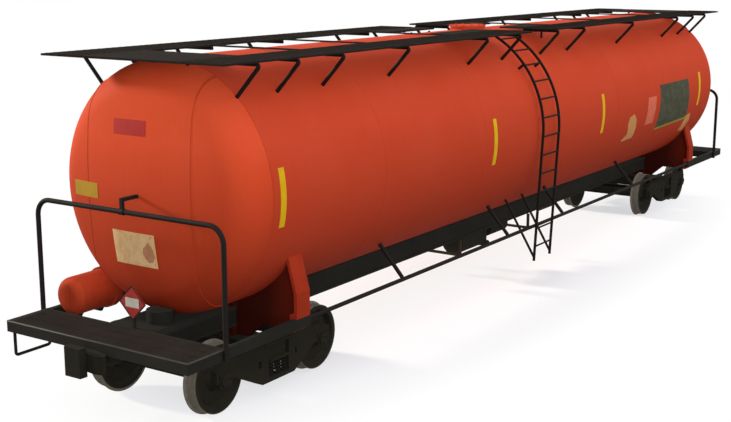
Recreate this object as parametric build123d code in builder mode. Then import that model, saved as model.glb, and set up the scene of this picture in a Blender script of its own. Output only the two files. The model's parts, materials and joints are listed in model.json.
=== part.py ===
from build123d import *
from math import atan2, cos, degrees, radians, sin, sqrt
import os

# Railway tank car: a frameless barrel on two saddles, a low centre sill, two end
# platforms and two three-piece bogies. X runs along the car, Y across it, Z up.
# The origin lies on the floor under the middle of the car.
os.makedirs("parts", exist_ok=True)

# Small clearances: beside a curved skin, in a bearing, in a press fit, under a square-cut foot
SKIN_GAP = 0.3
RUNNING_GAP = 0.5
PRESS_GAP = 0.05
FOOT_GAP = 0.7

# Wheels and axles
TREAD_R = 420
FLANGE_H = 28
FLANGE_W = 32
RIM_W = 165
RIM_T = 62
WEB_T = 30
HUB_R = 130
HUB_W = 150
WHEEL_BACK_Y = 680
SEAT_R = 95
AXLE_R = 80
JOURNAL_R = 65
CAP_R = 85
CAP_T = 22

# Bogies
FRAME_GAP = 15
FRAME_T = 120
ARM_T = 80
FRAME_RISE = 50
FRAME_DROP = 50
FRAME_OVERHANG = 150
FRAME_FALL = 45
NOSE_RISE = 50
TOP_CHORD = 38
CHORD_W = 70
FOOT_LENGTH = 120
LEDGE = 22
SLOT_W = 40
SLOT_H = 90
SLOT_IN = 85
LEG_W = 80
LEG_DROP = 20
BOX_W = 200
BOX_H = 170
BOX_T = 110
BOX_GAP = 2
SEAT_DROP = 198
SPRING_H = 205
SPRING_R = 58
SPRING_PITCH = 140
BOLSTER_W = 380
BOLSTER_H = 200
BOLSTER_IN = 40
BOLSTER_LIP = 20
BOLSTER_LIP_T = 28
WINDOW_GAP = 10
BOWL_R = 190
BOWL_T = 18
BRAKE_GAP = 8
SHOE_T = 50
SHOE_H = 220
SHOE_W = 85
BEAM_T = 90
BEAM_ROOM = 207

# Barrel
TANK_R = 1525
SHELL_HALF = 7560
CROWN_RATIO = 4.6
KNUCKLE_RATIO = 0.295

# Underframe
CENTRE_PLATE_T = 20
BOGIE_INSET = 745
SADDLE_OUT = 75
SADDLE_W = 260
SADDLE_WEB = 90
SADDLE_RIM = 45
SADDLE_KEEL_H = 119
KEEL_MARGIN = 160
SHOULDER_W = 234
WING_DROP = 38
KNEE_SHARE = 0.42
LEAN = 118
SILL_HALF_W = 400
SILL_H = 256
SILL_TOP_GAP = 12
SILL_CHAMFER = 55
SILL_LIP = 30
SILL_LIP_T = 24
SILL_POST_R = 165
SILL_POST_H = 150
SILL_POST_Y = 110
SILL_POST_BACK = 150
SIDE_SILL_INSET = 105
SIDE_SILL_W = 65
SIDE_SILL_H = 133
SIDE_SILL_PAST = 15
DECK_RISE = 254
PLATFORM_GAP = 211
PLATFORM_DEPTH = 625
PLATFORM_WALL = 40
DECK_T = 26
DECK_GAP = 6
DECK_PLANKS = 3
DRAFT_W = 300
DRAFT_H = 170
DRAFT_SETBACK = 120
SHANK = 130
COUPLER_DROP = 186
COUPLER_REACH = 265

# Coupler seen from above: height, then corners as share of the reach and offset from the middle
COUPLER_KNUCKLE = 340, (
    (0.62, -80),
    (1.00, -70),
    (1.00, 165),
    (0.85, 185),
    (0.62, 180),
)
COUPLER_HEAD = 210, (
    (0.12, -100),
    (0.30, -290),
    (0.48, -335),
    (0.64, -320),
    (0.74, -220),
    (0.66, -80),
    (0.62, 180),
    (0.30, 170),
    (0.12, 90),
)

# Handrails, side rods and ladders
HOOP_SETBACK = 37
HOOP_R = 30
HOOP_H = 1368
HOOP_BEND = 200
TIE_RISE = 140
TIE_W = 40
TIE_Y = 42
ROD_R = 28
ROD_INSET = 30
ROD_DROP = 45
ROD_STRUT_SHARES = (0.1595, 0.3893, 0.5394, 0.7729)
LADDER_X = -600
LADDER_W = 580
LADDER_OFF = 120
LADDER_BAR = 36
LADDER_BAR_T = 26
LADDER_TUCK = 100
LADDER_TOP_ANGLE = 62
LADDER_DROP = 290
RUNG_R = 14
RUNG_PITCH = 295
RUNG_FIRST = 236
BRACE_W = 30
BRACE_ANGLE = 48.3
BRACE_FOOT = 80
STANDOFF_ANGLES = (39,)

# Roof walkways
PLANK_T = 25
PLANK_GAP = 3
PLANK_INSET = 121
PLANK_W = 675
BOARD_W = 380
RING_OVERHANG = 115
OUTER_DEPTH = 1060
BRACKET_R = 24
BRACKET_BEND = 26
CROSS_BAR = 22
STRUT_R = 22
STRUT_INSET = 534
STRUT_SPREAD = 416
POST_R = 18
POST_MARGIN = 190
POST_ANGLE = 59.9

# Walkway rings: name, end of the car, X of the inner end, length of the inner boards,
# bracket places as shares of the ring's length from its outer end,
# cross bar places as shares of the open middle from its outer end
RINGS = (
    ("near", -1, -894, 1330, (0.088, 0.188, 0.312, 0.517, 0.815, 0.961), (0.247, 0.553, 0.996)),
    ("far", 1, 50, 1000, (0.0875, 0.179, 0.293, 0.586, 0.855, 0.984), (0.217, 0.610, 0.972)),
)

# Manway
MAN_X = -420
MAN_R = 280
MAN_H = 35
LID_LAP = 20
LID_T = 28
LID_GAP = 0.3
HINGE_GAP = 30
PIN_R = 11
KNUCKLE_W = 120
LUG_R = 22
LUG_T = 24
LUG_GAP = 6

# Fittings
RES_R = 235
RES_GAP = 10
RES_SIDE_GAP = 2.3
RES_SETBACK = 55
RES_LENGTH = 780
RES_DOME = 110
COLLAR_W = 90
COLLAR_T = 25
CRADLE_T = 30
CRADLE_DOME_GAP = 70
CRADLE_COLLAR_GAP = 19
POST_W = 30
SIGN_POST_H = 480
PLACARD = 420
PLACARD_RISE = 314
PLACARD_Y = 62
PLACARD_T = 8
STEP_R = 19
STEP_DROP = 310
STEP_LENGTH = 530
STEP_INSET = 80
OUTLET_X = 175
OUTLET_R = 110
OUTLET_DROP = 412
OUTLET_FLANGE_R = 160
OUTLET_FLANGE_T = 36
OUTLET_BORE_R = 76
OUTLET_BORE_DEPTH = 150
HANGER_X = (-1350, 1120)
HANGER_MARGIN = 40
HANGER_DROP = 272
HANGER_BAR = 40

# Brake vessels: X of the middle, length, radius, drop of the axis below the sill
VESSELS = (
    (-400, 800, 200, 212),
    (620, 640, 140, 172),
)

ENDS = (("near", -1), ("far", 1))
SIDES = (("right", -1), ("left", 1))

# Heights, from the wheels up
axle_z = TREAD_R + FLANGE_H
spring_seat = axle_z - SEAT_DROP
bolster_bottom = spring_seat + SPRING_H
bolster_top = bolster_bottom + BOLSTER_H
bowl_top = bolster_top + BOWL_T
saddle_bottom = bowl_top + CENTRE_PLATE_T
sill_bottom = saddle_bottom + SADDLE_KEEL_H
sill_top = sill_bottom + SILL_H
tank_z = sill_top + SILL_TOP_GAP + TANK_R
tank_top = tank_z + TANK_R
deck_top = sill_bottom + DECK_RISE
side_sill_bottom = deck_top - SIDE_SILL_H
hoop_top = deck_top + HOOP_H
plank_z = tank_top + PLANK_GAP

# Lengths, from the middle of the car to its ends
crown_r = CROWN_RATIO * TANK_R
knuckle_r = KNUCKLE_RATIO * TANK_R
knuckle_y = TANK_R - knuckle_r
head_depth = crown_r - sqrt((crown_r - knuckle_r) ** 2 - knuckle_y ** 2)
tank_end = SHELL_HALF + head_depth
platform_back = tank_end + PLATFORM_GAP
platform_end = platform_back + PLATFORM_DEPTH
platform_x = platform_back + PLATFORM_DEPTH / 2
hoop_x = platform_back + HOOP_SETBACK
bogie_place = SHELL_HALF - BOGIE_INSET
saddle_place = bogie_place + SADDLE_OUT
side_sill_end = saddle_place - SADDLE_W / 2 - SIDE_SILL_PAST
half_base = BOLSTER_W / 2 + BEAM_ROOM + BEAM_T + SHOE_T + BRAKE_GAP + TREAD_R

# Widths
side_sill_y = TANK_R - SIDE_SILL_INSET
sill_in = side_sill_y - SIDE_SILL_W
hoop_y = side_sill_y + HOOP_R + SKIN_GAP
rod_y = side_sill_y - ROD_INSET
plank_out = TANK_R - PLANK_INSET
plank_in = plank_out - PLANK_W
wheel_y = WHEEL_BACK_Y + RIM_W / 2
frame_in = WHEEL_BACK_Y + RIM_W + FRAME_GAP
frame_y = frame_in + FRAME_T / 2
frame_out = frame_in + FRAME_T
box_y = frame_in + ARM_T / 2


def save(piece, name):
    piece.label = name
    export_step(piece, f"parts/{name}.step")


def tank_point(angle, off):
    """Y and Z of a point off the barrel's skin, at an angle above the horizontal."""
    reach = TANK_R + off
    return reach * cos(radians(angle)), tank_z + reach * sin(radians(angle))


# Barrel: shell and two dished heads
with BuildPart() as tank_shell:
    with BuildSketch(Plane.YZ.offset(-SHELL_HALF)):
        with Locations((0, tank_z)):
            Circle(TANK_R)
    extrude(amount=2 * SHELL_HALF)
save(tank_shell.part, "tank_shell")

tank_axis = Axis((0, 0, tank_z), (1, 0, 0))
knuckle_reach = crown_r - knuckle_r
tangent_cos = (crown_r - head_depth) / knuckle_reach
tangent_sin = knuckle_y / knuckle_reach


def head_plane(s):
    return Plane(origin=(s * SHELL_HALF, 0, tank_z), x_dir=(s, 0, 0), z_dir=(0, -s, 0))


def head_face(off):
    """Half profile of a dished head, grown by an offset: wide crown arc, small knuckle arc."""
    bend = knuckle_r + off
    tangent = (bend * tangent_cos, knuckle_y + bend * tangent_sin)
    with BuildSketch() as profile:
        with BuildLine():
            base = Line((0, TANK_R + off), (0, 0))
            middle = Line(base @ 1, (head_depth + off, 0))
            crown = RadiusArc(middle @ 1, tangent, -crown_r - off)
            RadiusArc(crown @ 1, base @ 0, -bend)
        make_face()
    return profile.sketch


for end, s in ENDS:
    with BuildPart() as tank_head:
        with BuildSketch(head_plane(s)):
            add(head_face(0))
        revolve(axis=tank_axis)
    save(tank_head.part, f"tank_head_{end}")

# Saddles: a web with outer flanges and a centre plate, notched for the centre sill and the side sills
sill_out = SILL_HALF_W + SILL_LIP
keel_y = sill_out + KEEL_MARGIN
wing_z = side_sill_bottom - WING_DROP
lean_y = side_sill_y - LEAN
lean_z = tank_z - sqrt(TANK_R ** 2 - lean_y ** 2)
knee_z = deck_top + KNEE_SHARE * (lean_z - deck_top)
flange_in = side_sill_y - SADDLE_RIM
foot_in = sill_in - SADDLE_RIM
pocket = (
    (sill_out, saddle_bottom - SADDLE_RIM),
    (foot_in, saddle_bottom - SADDLE_RIM),
    (foot_in, deck_top + SADDLE_RIM),
    (flange_in, deck_top + SADDLE_RIM),
    (flange_in, knee_z),
    (lean_y - SADDLE_RIM, lean_z),
    (sill_out, lean_z),
)
for end, s in ENDS:
    with BuildPart() as saddle:
        with BuildSketch(Plane.YZ.offset(s * saddle_place - SADDLE_W / 2)):
            with BuildLine():
                half = Polyline(
                    (0, saddle_bottom),
                    (keel_y, saddle_bottom),
                    (keel_y + SHOULDER_W, wing_z),
                    (sill_in, wing_z),
                    (sill_in, deck_top),
                    (side_sill_y, deck_top),
                    (side_sill_y, knee_z),
                    (lean_y, lean_z),
                    (0, lean_z),
                )
                mirror(half, about=Plane.YZ)
            make_face()
            with Locations((0, tank_z)):
                Circle(TANK_R + SKIN_GAP, mode=Mode.SUBTRACT)
            with Locations((0, (sill_bottom + sill_top) / 2)):
                Rectangle(2 * sill_out, SILL_H, mode=Mode.SUBTRACT)
        extrude(amount=SADDLE_W)
        for face in (-1, 1):
            with BuildSketch(Plane.YZ.offset(s * saddle_place + face * SADDLE_W / 2)):
                for side, t in SIDES:
                    with BuildLine():
                        Polyline(*[(t * y, z) for y, z in pocket], close=True)
                    make_face()
            extrude(amount=-face * (SADDLE_W - SADDLE_WEB) / 2, mode=Mode.SUBTRACT)
        with BuildSketch(Plane.XY.offset(saddle_bottom)):
            with Locations((s * bogie_place, 0)):
                Rectangle(2 * BOWL_R, 2 * BOWL_R)
        extrude(amount=SADDLE_KEEL_H)
        with BuildSketch(Plane.XY.offset(saddle_bottom)):
            with Locations((s * bogie_place, 0)):
                Circle(BOWL_R)
        extrude(amount=-CENTRE_PLATE_T)
    save(saddle.part, f"saddle_{end}")

# Centre sill: one beam under the barrel, with a round post below each head's knuckle
with BuildPart() as centre_sill:
    with BuildSketch(Plane.YZ.offset(-platform_back)):
        with BuildLine():
            half = Polyline(
                (0, sill_bottom),
                (sill_out, sill_bottom),
                (sill_out, sill_bottom + SILL_LIP_T),
                (SILL_HALF_W, sill_bottom + SILL_LIP_T),
                (SILL_HALF_W, sill_top - SILL_CHAMFER),
                (SILL_HALF_W - SILL_CHAMFER, sill_top),
                (0, sill_top),
            )
            mirror(half, about=Plane.YZ)
        make_face()
    extrude(amount=2 * platform_back)
    with BuildSketch(Plane.XY.offset(sill_top)):
        for end, s in ENDS:
            with Locations((s * (tank_end - SILL_POST_BACK), s * SILL_POST_Y)):
                Circle(SILL_POST_R)
    extrude(amount=SILL_POST_H)
    for end, s in ENDS:
        with BuildSketch(head_plane(s)):
            add(head_face(SKIN_GAP))
        revolve(axis=tank_axis, mode=Mode.SUBTRACT)
save(centre_sill.part, "centre_sill")

draft_x = platform_x - DRAFT_SETBACK / 2
with BuildPart() as draft_boxes:
    with BuildSketch(Plane.XY.offset(side_sill_bottom)):
        with Locations((-draft_x, 0), (draft_x, 0)):
            Rectangle(PLATFORM_DEPTH - DRAFT_SETBACK, DRAFT_W)
    extrude(amount=-DRAFT_H)
save(draft_boxes.part, "draft_boxes")

# Couplers: a shank on the platform's front, a head with its guard arm, and a taller knuckle
coupler_z = deck_top - COUPLER_DROP
shank_length = COUPLER_HEAD[1][1][0] * COUPLER_REACH
for end, s in ENDS:
    with BuildPart() as coupler:
        for height, corners in (COUPLER_KNUCKLE, COUPLER_HEAD):
            outline = [(s * (platform_end + share * COUPLER_REACH), -s * y) for share, y in corners]
            with BuildSketch(Plane.XY.offset(coupler_z - height / 2)):
                with BuildLine():
                    Polyline(*outline, close=True)
                make_face()
            extrude(amount=height)
        with BuildSketch(Plane.YZ.offset(s * platform_end)):
            with Locations((0, coupler_z)):
                Rectangle(SHANK, SHANK)
        extrude(amount=s * shank_length)
    save(coupler.part, f"coupler_{end}")

# End platforms: a headstock with a sign post and a sunk deck of planks, and the side sills behind it
deck_length = PLATFORM_DEPTH - 2 * PLATFORM_WALL
sign_x = platform_back + PLATFORM_WALL / 2
plank_w = (deck_length - (DECK_PLANKS - 1) * DECK_GAP) / DECK_PLANKS
for end, s in ENDS:
    with BuildPart() as end_beam:
        with BuildSketch(Plane.XY.offset(side_sill_bottom)):
            with Locations((s * platform_x, 0)):
                Rectangle(PLATFORM_DEPTH, 2 * side_sill_y)
        extrude(amount=SIDE_SILL_H)
        with BuildSketch(Plane.XY.offset(deck_top)):
            with Locations((s * platform_x, 0)):
                Rectangle(deck_length, 2 * sill_in)
        extrude(amount=-DECK_T, mode=Mode.SUBTRACT)
        with BuildSketch(Plane.XY.offset(deck_top)):
            with Locations((s * sign_x, s * PLACARD_Y)):
                Rectangle(POST_W, POST_W)
        extrude(amount=SIGN_POST_H)
    save(end_beam.part, f"end_beam_{end}")

    with BuildPart() as deck:
        with BuildSketch(Plane.XY.offset(deck_top - DECK_T)):
            with Locations((s * platform_x, 0)):
                with GridLocations(plank_w + DECK_GAP, 0, DECK_PLANKS, 1):
                    Rectangle(plank_w, 2 * sill_in)
        extrude(amount=DECK_T)
    save(deck.part, f"deck_{end}")

with BuildPart() as side_sills:
    for end, s in ENDS:
        for side, t in SIDES:
            with BuildSketch(Plane.YZ.offset(s * side_sill_end)):
                with Locations((t * (side_sill_y - SIDE_SILL_W / 2), deck_top - SIDE_SILL_H / 2)):
                    Rectangle(SIDE_SILL_W, SIDE_SILL_H)
            extrude(amount=s * (platform_back - side_sill_end))
save(side_sills.part, "side_sills")

# Handrail hoops outside the side sills, each tied to the barrel's head
for end, s in ENDS:
    hoop_plane = Plane(origin=(s * hoop_x, 0, 0), x_dir=(0, 1, 0), z_dir=(1, 0, 0))
    with BuildPart() as handrail:
        with BuildLine(hoop_plane) as hoop_path:
            FilletPolyline(
                (-hoop_y, side_sill_bottom),
                (-hoop_y, hoop_top),
                (hoop_y, hoop_top),
                (hoop_y, side_sill_bottom),
                radius=HOOP_BEND,
            )
        with BuildSketch(Plane(origin=(s * hoop_x, -hoop_y, side_sill_bottom), z_dir=(0, 0, 1))):
            Circle(HOOP_R)
        sweep(path=hoop_path.wires()[0])
    save(handrail.part, f"handrail_{end}")

tie_half = TIE_W / 2
tie_z = hoop_top + TIE_RISE
tie_foot = hoop_top + HOOP_R + SKIN_GAP
tie_far = max(abs(tie_z - tie_half - tank_z), abs(tie_z + tie_half - tank_z))
tie_near = max(0, tie_far - TIE_W)
crown_x = tank_end - crown_r
tie_side = max(0, TIE_Y - tie_half)
head_x = crown_x + sqrt(crown_r ** 2 - tie_near ** 2 - tie_side ** 2) + SKIN_GAP
with BuildPart() as rail_ties:
    for end, s in ENDS:
        with BuildSketch(Plane.XZ.offset(s * TIE_Y - tie_half)):
            with BuildLine():
                Polyline(
                    (s * (hoop_x - tie_half), tie_foot),
                    (s * (hoop_x + tie_half), tie_foot),
                    (s * (hoop_x + tie_half), tie_z + tie_half),
                    (s * head_x, tie_z + tie_half),
                    (s * head_x, tie_z - tie_half),
                    (s * (hoop_x - tie_half), tie_z - tie_half),
                    close=True,
                )
            make_face()
        extrude(amount=TIE_W)
save(rail_ties.part, "rail_ties")

# Side rods between the side sills, and their struts square to the barrel's skin
rod_z = deck_top - ROD_DROP
with BuildPart() as side_rods:
    for side, t in SIDES:
        with BuildSketch(Plane.YZ.offset(-side_sill_end)):
            with Locations((t * rod_y, rod_z)):
                Circle(ROD_R)
        extrude(amount=2 * side_sill_end)
save(side_rods.part, "side_rods")

strut_angle = degrees(atan2(rod_z - tank_z, rod_y))
strut_y, strut_z = tank_point(strut_angle, FOOT_GAP)
strut_length = Vector(0, rod_y - strut_y, rod_z - strut_z).length - ROD_R - SKIN_GAP
with BuildPart() as rod_struts:
    for share in ROD_STRUT_SHARES:
        x = (2 * share - 1) * side_sill_end
        for side, t in SIDES:
            run = Vector(0, t * (rod_y - strut_y), rod_z - strut_z)
            with BuildSketch(Plane(origin=(x, t * strut_y, strut_z), z_dir=run)):
                Circle(ROD_R)
            extrude(amount=strut_length)
save(rod_struts.part, "rod_struts")

# Ladders: two bent bars a side, round rungs between them, and braces to the barrel
ladder_foot = sill_bottom - LADDER_DROP
ladder_r = TANK_R + LADDER_OFF
bar_in = LADDER_OFF - LADDER_BAR / 2
bar_out = LADDER_OFF + LADDER_BAR / 2
bar_places = (LADDER_X - LADDER_W / 2, LADDER_X + LADDER_W / 2)
straight = tank_z - ladder_foot
top_in = tank_point(LADDER_TOP_ANGLE, bar_in)
top_out = tank_point(LADDER_TOP_ANGLE, bar_out)
with BuildPart() as ladder_rails:
    for side, t in SIDES:
        for x in bar_places:
            with BuildSketch(Plane.YZ.offset(x - LADDER_BAR_T / 2)):
                with BuildLine():
                    Polyline(
                        (t * (TANK_R + bar_in), tank_z),
                        (t * (TANK_R + bar_in - LADDER_TUCK), ladder_foot),
                        (t * (TANK_R + bar_out - LADDER_TUCK), ladder_foot),
                        (t * (TANK_R + bar_out), tank_z),
                    )
                    back = (t * top_out[0], top_out[1])
                    RadiusArc((t * (TANK_R + bar_out), tank_z), back, -t * (TANK_R + bar_out))
                    front = (t * top_in[0], top_in[1])
                    Line(back, front)
                    RadiusArc(front, (t * (TANK_R + bar_in), tank_z), t * (TANK_R + bar_in))
                make_face()
            extrude(amount=LADDER_BAR_T)
save(ladder_rails.part, "ladder_rails")

first_rung = ladder_foot + RUNG_FIRST
climb_length = tank_z - first_rung + ladder_r * radians(LADDER_TOP_ANGLE)
rung_count = int(climb_length / RUNG_PITCH) + 1
with BuildPart() as ladder_rungs:
    for side, t in SIDES:
        for i in range(rung_count):
            climb = first_rung + i * RUNG_PITCH
            past = max(0, climb - tank_z) / ladder_r
            tuck = LADDER_TUCK * max(0, tank_z - climb) / straight
            rung_y = t * (ladder_r * cos(past) - tuck)
            rung_z = min(climb, tank_z) + ladder_r * sin(past)
            with BuildSketch(Plane.YZ.offset(bar_places[0] + LADDER_BAR_T / 2)):
                with Locations((rung_y, rung_z)):
                    Circle(RUNG_R)
            extrude(amount=LADDER_W - LADDER_BAR_T)
save(ladder_rungs.part, "ladder_rungs")

brace_start = Vector(*tank_point(-BRACE_ANGLE, -BRACE_W))
brace_tuck = LADDER_TUCK * (1 - BRACE_FOOT / straight)
brace_end = Vector(TANK_R + bar_in - brace_tuck, ladder_foot + BRACE_FOOT)
brace_run = (brace_end - brace_start).normalized()
brace_side = Vector(-brace_run.Y, brace_run.X) * (BRACE_W / 2)
bar_run = Vector(LADDER_TUCK, straight).normalized()
brace_rise = bar_run * (BRACE_W / 2 / brace_run.cross(bar_run).Z)
brace_outline = (
    brace_start + brace_side,
    brace_end + brace_rise,
    brace_end - brace_rise,
    brace_start - brace_side,
)
with BuildPart() as ladder_braces:
    for side, t in SIDES:
        for x in bar_places:
            with BuildSketch(Plane.YZ.offset(x - LADDER_BAR_T / 2)):
                with BuildLine():
                    Polyline(*[(t * corner.X, corner.Y) for corner in brace_outline], close=True)
                make_face()
                with Locations((0, tank_z)):
                    Circle(TANK_R + SKIN_GAP, mode=Mode.SUBTRACT)
            extrude(amount=LADDER_BAR_T)
            for angle in STANDOFF_ANGLES:
                foot_y, foot_z = tank_point(angle, SKIN_GAP)
                aim = Vector(0, t * cos(radians(angle)), sin(radians(angle)))
                with BuildSketch(Plane(origin=(x, t * foot_y, foot_z), x_dir=(1, 0, 0), z_dir=aim)):
                    Rectangle(LADDER_BAR_T, LADDER_BAR)
                extrude(amount=bar_in - SKIN_GAP - FOOT_GAP)
save(ladder_braces.part, "ladder_braces")

# Roof walkways: two rings of planks, with inner boards beside the manway
ring_end = tank_end + RING_OVERHANG
for side, t in SIDES:
    with BuildPart() as planks:
        for ring, s, in_x, board, shares, bars in RINGS:
            with BuildSketch(Plane.XY.offset(plank_z)):
                with Locations(((s * ring_end + in_x) / 2, t * (plank_out + plank_in) / 2)):
                    Rectangle(abs(s * ring_end - in_x), PLANK_W)
            extrude(amount=PLANK_T)
    save(planks.part, f"walkway_{side}")

with BuildPart() as cross_planks:
    for ring, s, in_x, board, shares, bars in RINGS:
        with BuildSketch(Plane.XY.offset(plank_z)):
            with Locations((s * (ring_end - OUTER_DEPTH / 2), 0)):
                Rectangle(OUTER_DEPTH, 2 * plank_in)
            board_y = plank_in - BOARD_W / 2
            with Locations((in_x + s * board / 2, board_y), (in_x + s * board / 2, -board_y)):
                Rectangle(board, BOARD_W)
        extrude(amount=PLANK_T)
save(cross_planks.part, "walkway_cross")

# Bent tube brackets under the planks, square to the barrel's skin, and thin cross bars
tube_z = plank_z - BRACKET_R - SKIN_GAP
bend_y = plank_out - BRACKET_R
foot_y, foot_z = tank_point(degrees(atan2(tube_z - tank_z, bend_y)), FOOT_GAP)
with BuildPart() as brackets:
    for ring, s, in_x, board, shares, bars in RINGS:
        for share in shares:
            x = s * ring_end + share * (in_x - s * ring_end)
            for side, t in SIDES:
                with BuildLine(Plane.YZ.offset(x)) as bracket_path:
                    FilletPolyline(
                        (t * foot_y, foot_z),
                        (t * bend_y, tube_z),
                        (t * plank_in, tube_z),
                        radius=BRACKET_BEND,
                    )
                aim = Vector(0, t * (bend_y - foot_y), tube_z - foot_z)
                with BuildSketch(Plane(origin=(x, t * foot_y, foot_z), z_dir=aim)):
                    Circle(BRACKET_R)
                sweep(path=bracket_path.wires()[0])
save(brackets.part, "walkway_brackets")

with BuildPart() as cross_bars:
    for ring, s, in_x, board, shares, bars in RINGS:
        open_start = s * (ring_end - OUTER_DEPTH - CROSS_BAR / 2)
        open_end = in_x + s * (board + CROSS_BAR / 2)
        for share in bars:
            x = open_start + share * (open_end - open_start)
            with BuildSketch(Plane.XY.offset(plank_z)):
                with Locations((x, 0)):
                    Rectangle(CROSS_BAR, 2 * plank_in)
            extrude(amount=CROSS_BAR)
save(cross_bars.part, "cross_bars")

# Short struts from the heads' knuckles to the outer planks, and two posts beside the far boards
strut_top = plank_z - tank_z
strut_x = ring_end - STRUT_INSET - SHELL_HALF
with BuildPart() as walkway_struts:
    for end, s in ENDS:
        for y in (-STRUT_SPREAD, STRUT_SPREAD):
            reach = Vector(0, y, strut_top).length
            centre = Vector(0, y, strut_top) * (knuckle_y / reach)
            run = Vector(strut_x, y - centre.Y, strut_top - centre.Z)
            foot = centre + run.normalized() * (knuckle_r + FOOT_GAP)
            foot_place = (s * (SHELL_HALF + foot.X), foot.Y, tank_z + foot.Z)
            with BuildSketch(Plane(origin=foot_place, z_dir=(s * run.X, run.Y, run.Z))):
                Circle(STRUT_R)
            extrude(amount=run.length)
    with BuildSketch(Plane.XY.offset(plank_z)):
        Rectangle(2 * platform_end, 2 * plank_out)
    extrude(amount=knuckle_r + TANK_R, mode=Mode.SUBTRACT)
save(walkway_struts.part, "walkway_struts")

far_in, far_board = RINGS[1][2], RINGS[1][3]
post_x = far_in + far_board - POST_MARGIN
post_y, post_z = tank_point(POST_ANGLE, -4 * POST_R)
with BuildPart() as walkway_posts:
    with BuildSketch(Plane.XY.offset(plank_z)):
        with Locations((post_x, post_y), (post_x, -post_y)):
            Circle(POST_R)
    extrude(amount=post_z - plank_z)
    with BuildSketch(Plane.YZ.offset(post_x - 2 * POST_R)):
        with Locations((0, tank_z)):
            Circle(TANK_R + SKIN_GAP)
    extrude(amount=4 * POST_R, mode=Mode.SUBTRACT)
save(walkway_posts.part, "walkway_posts")

# Manway neck with its hinge lugs and pin, and the lid that turns on the pin
man_top = tank_top + MAN_H
lid_r = MAN_R + LID_LAP
lid_z = man_top + LID_GAP
hinge_x = MAN_X + lid_r + HINGE_GAP
hinge_z = lid_z + LID_T / 2
lug_y = KNUCKLE_W / 2 + LUG_GAP
with BuildPart() as manway:
    with BuildSketch(Plane.XY.offset(tank_top - MAN_R / 2)):
        with Locations((MAN_X, 0)):
            Circle(MAN_R)
    extrude(amount=MAN_H + MAN_R / 2)
    for side, t in SIDES:
        with BuildSketch(Plane.XZ.offset(-t * lug_y)):
            with BuildLine():
                Polyline(
                    (MAN_X + MAN_R / 2, tank_top),
                    (hinge_x + LUG_R, tank_top),
                    (hinge_x + LUG_R, hinge_z + LUG_R),
                    (hinge_x - LUG_R, hinge_z + LUG_R),
                    (hinge_x - LUG_R, man_top - LUG_GAP),
                    (MAN_X + MAN_R / 2, man_top - LUG_GAP),
                    close=True,
                )
            make_face()
        extrude(amount=-t * LUG_T)
    with BuildSketch(Plane.XZ.offset(-lug_y - LUG_T)):
        with Locations((hinge_x, hinge_z)):
            Circle(PIN_R)
    extrude(amount=2 * (lug_y + LUG_T))
    with BuildSketch(Plane.YZ.offset(MAN_X - 2 * MAN_R)):
        with Locations((0, tank_z)):
            Circle(TANK_R + SKIN_GAP)
    extrude(amount=4 * MAN_R, mode=Mode.SUBTRACT)
save(manway.part, "manway")

with BuildPart() as lid:
    with BuildSketch(Plane.XY.offset(lid_z)):
        with Locations((MAN_X, 0)):
            Circle(lid_r)
        with Locations((hinge_x - lid_r / 2, 0)):
            Rectangle(lid_r, KNUCKLE_W)
    extrude(amount=LID_T)
    with BuildSketch(Plane.XZ.offset(-KNUCKLE_W / 2)):
        with Locations((hinge_x, hinge_z)):
            Circle(LUG_R)
    extrude(amount=KNUCKLE_W)
    with BuildSketch(Plane.XZ.offset(-KNUCKLE_W / 2)):
        with Locations((hinge_x, hinge_z)):
            Circle(PIN_R + RUNNING_GAP)
    extrude(amount=KNUCKLE_W, mode=Mode.SUBTRACT)
save(lid.part, "manway_lid")

# Air reservoir with a collar behind the near platform, on two cradles from the left side sill
res_y = sill_in - RES_R - RES_SIDE_GAP
res_z = tank_z - sqrt((TANK_R + RES_R + RES_GAP) ** 2 - res_y ** 2)
res_nose = RES_SETBACK - platform_back
collar_x = res_nose + RES_LENGTH - RES_DOME - COLLAR_W
with BuildPart() as reservoir:
    with BuildSketch(Plane.YZ.offset(res_nose)):
        with Locations((res_y, res_z)):
            Circle(RES_R)
    extrude(amount=RES_LENGTH)
    fillet(reservoir.edges().filter_by(GeomType.CIRCLE), RES_DOME)
    with BuildSketch(Plane.YZ.offset(collar_x + COLLAR_W)):
        with Locations((res_y, res_z)):
            Circle(RES_R + COLLAR_T)
        with Locations((0, tank_z)):
            Circle(TANK_R + SKIN_GAP, mode=Mode.SUBTRACT)
    extrude(amount=-COLLAR_W)
save(reservoir.part, "air_reservoir")

with BuildPart() as cradles:
    for x in (res_nose + RES_DOME + CRADLE_DOME_GAP, collar_x - CRADLE_COLLAR_GAP - CRADLE_T):
        with BuildSketch(Plane.YZ.offset(x)):
            with BuildLine():
                Polyline(
                    (res_y, res_z - RES_R / 2),
                    (res_y - RES_R / 2, res_z - RES_R / 2),
                    (res_y, side_sill_bottom),
                    (sill_in, side_sill_bottom),
                    (sill_in, deck_top - CRADLE_T),
                    close=True,
                )
            make_face()
            with Locations((res_y, res_z)):
                Circle(RES_R + SKIN_GAP, mode=Mode.SUBTRACT)
        extrude(amount=CRADLE_T)
save(cradles.part, "reservoir_cradles")

# Placards on the sign posts
with BuildPart() as placards:
    for end, s in ENDS:
        with BuildSketch(Plane.YZ.offset(s * (sign_x + POST_W / 2))):
            with Locations((s * PLACARD_Y, deck_top + PLACARD_RISE)):
                Rectangle(PLACARD / sqrt(2), PLACARD / sqrt(2), rotation=45)
        extrude(amount=s * PLACARD_T)
save(placards.part, "placards")

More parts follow.
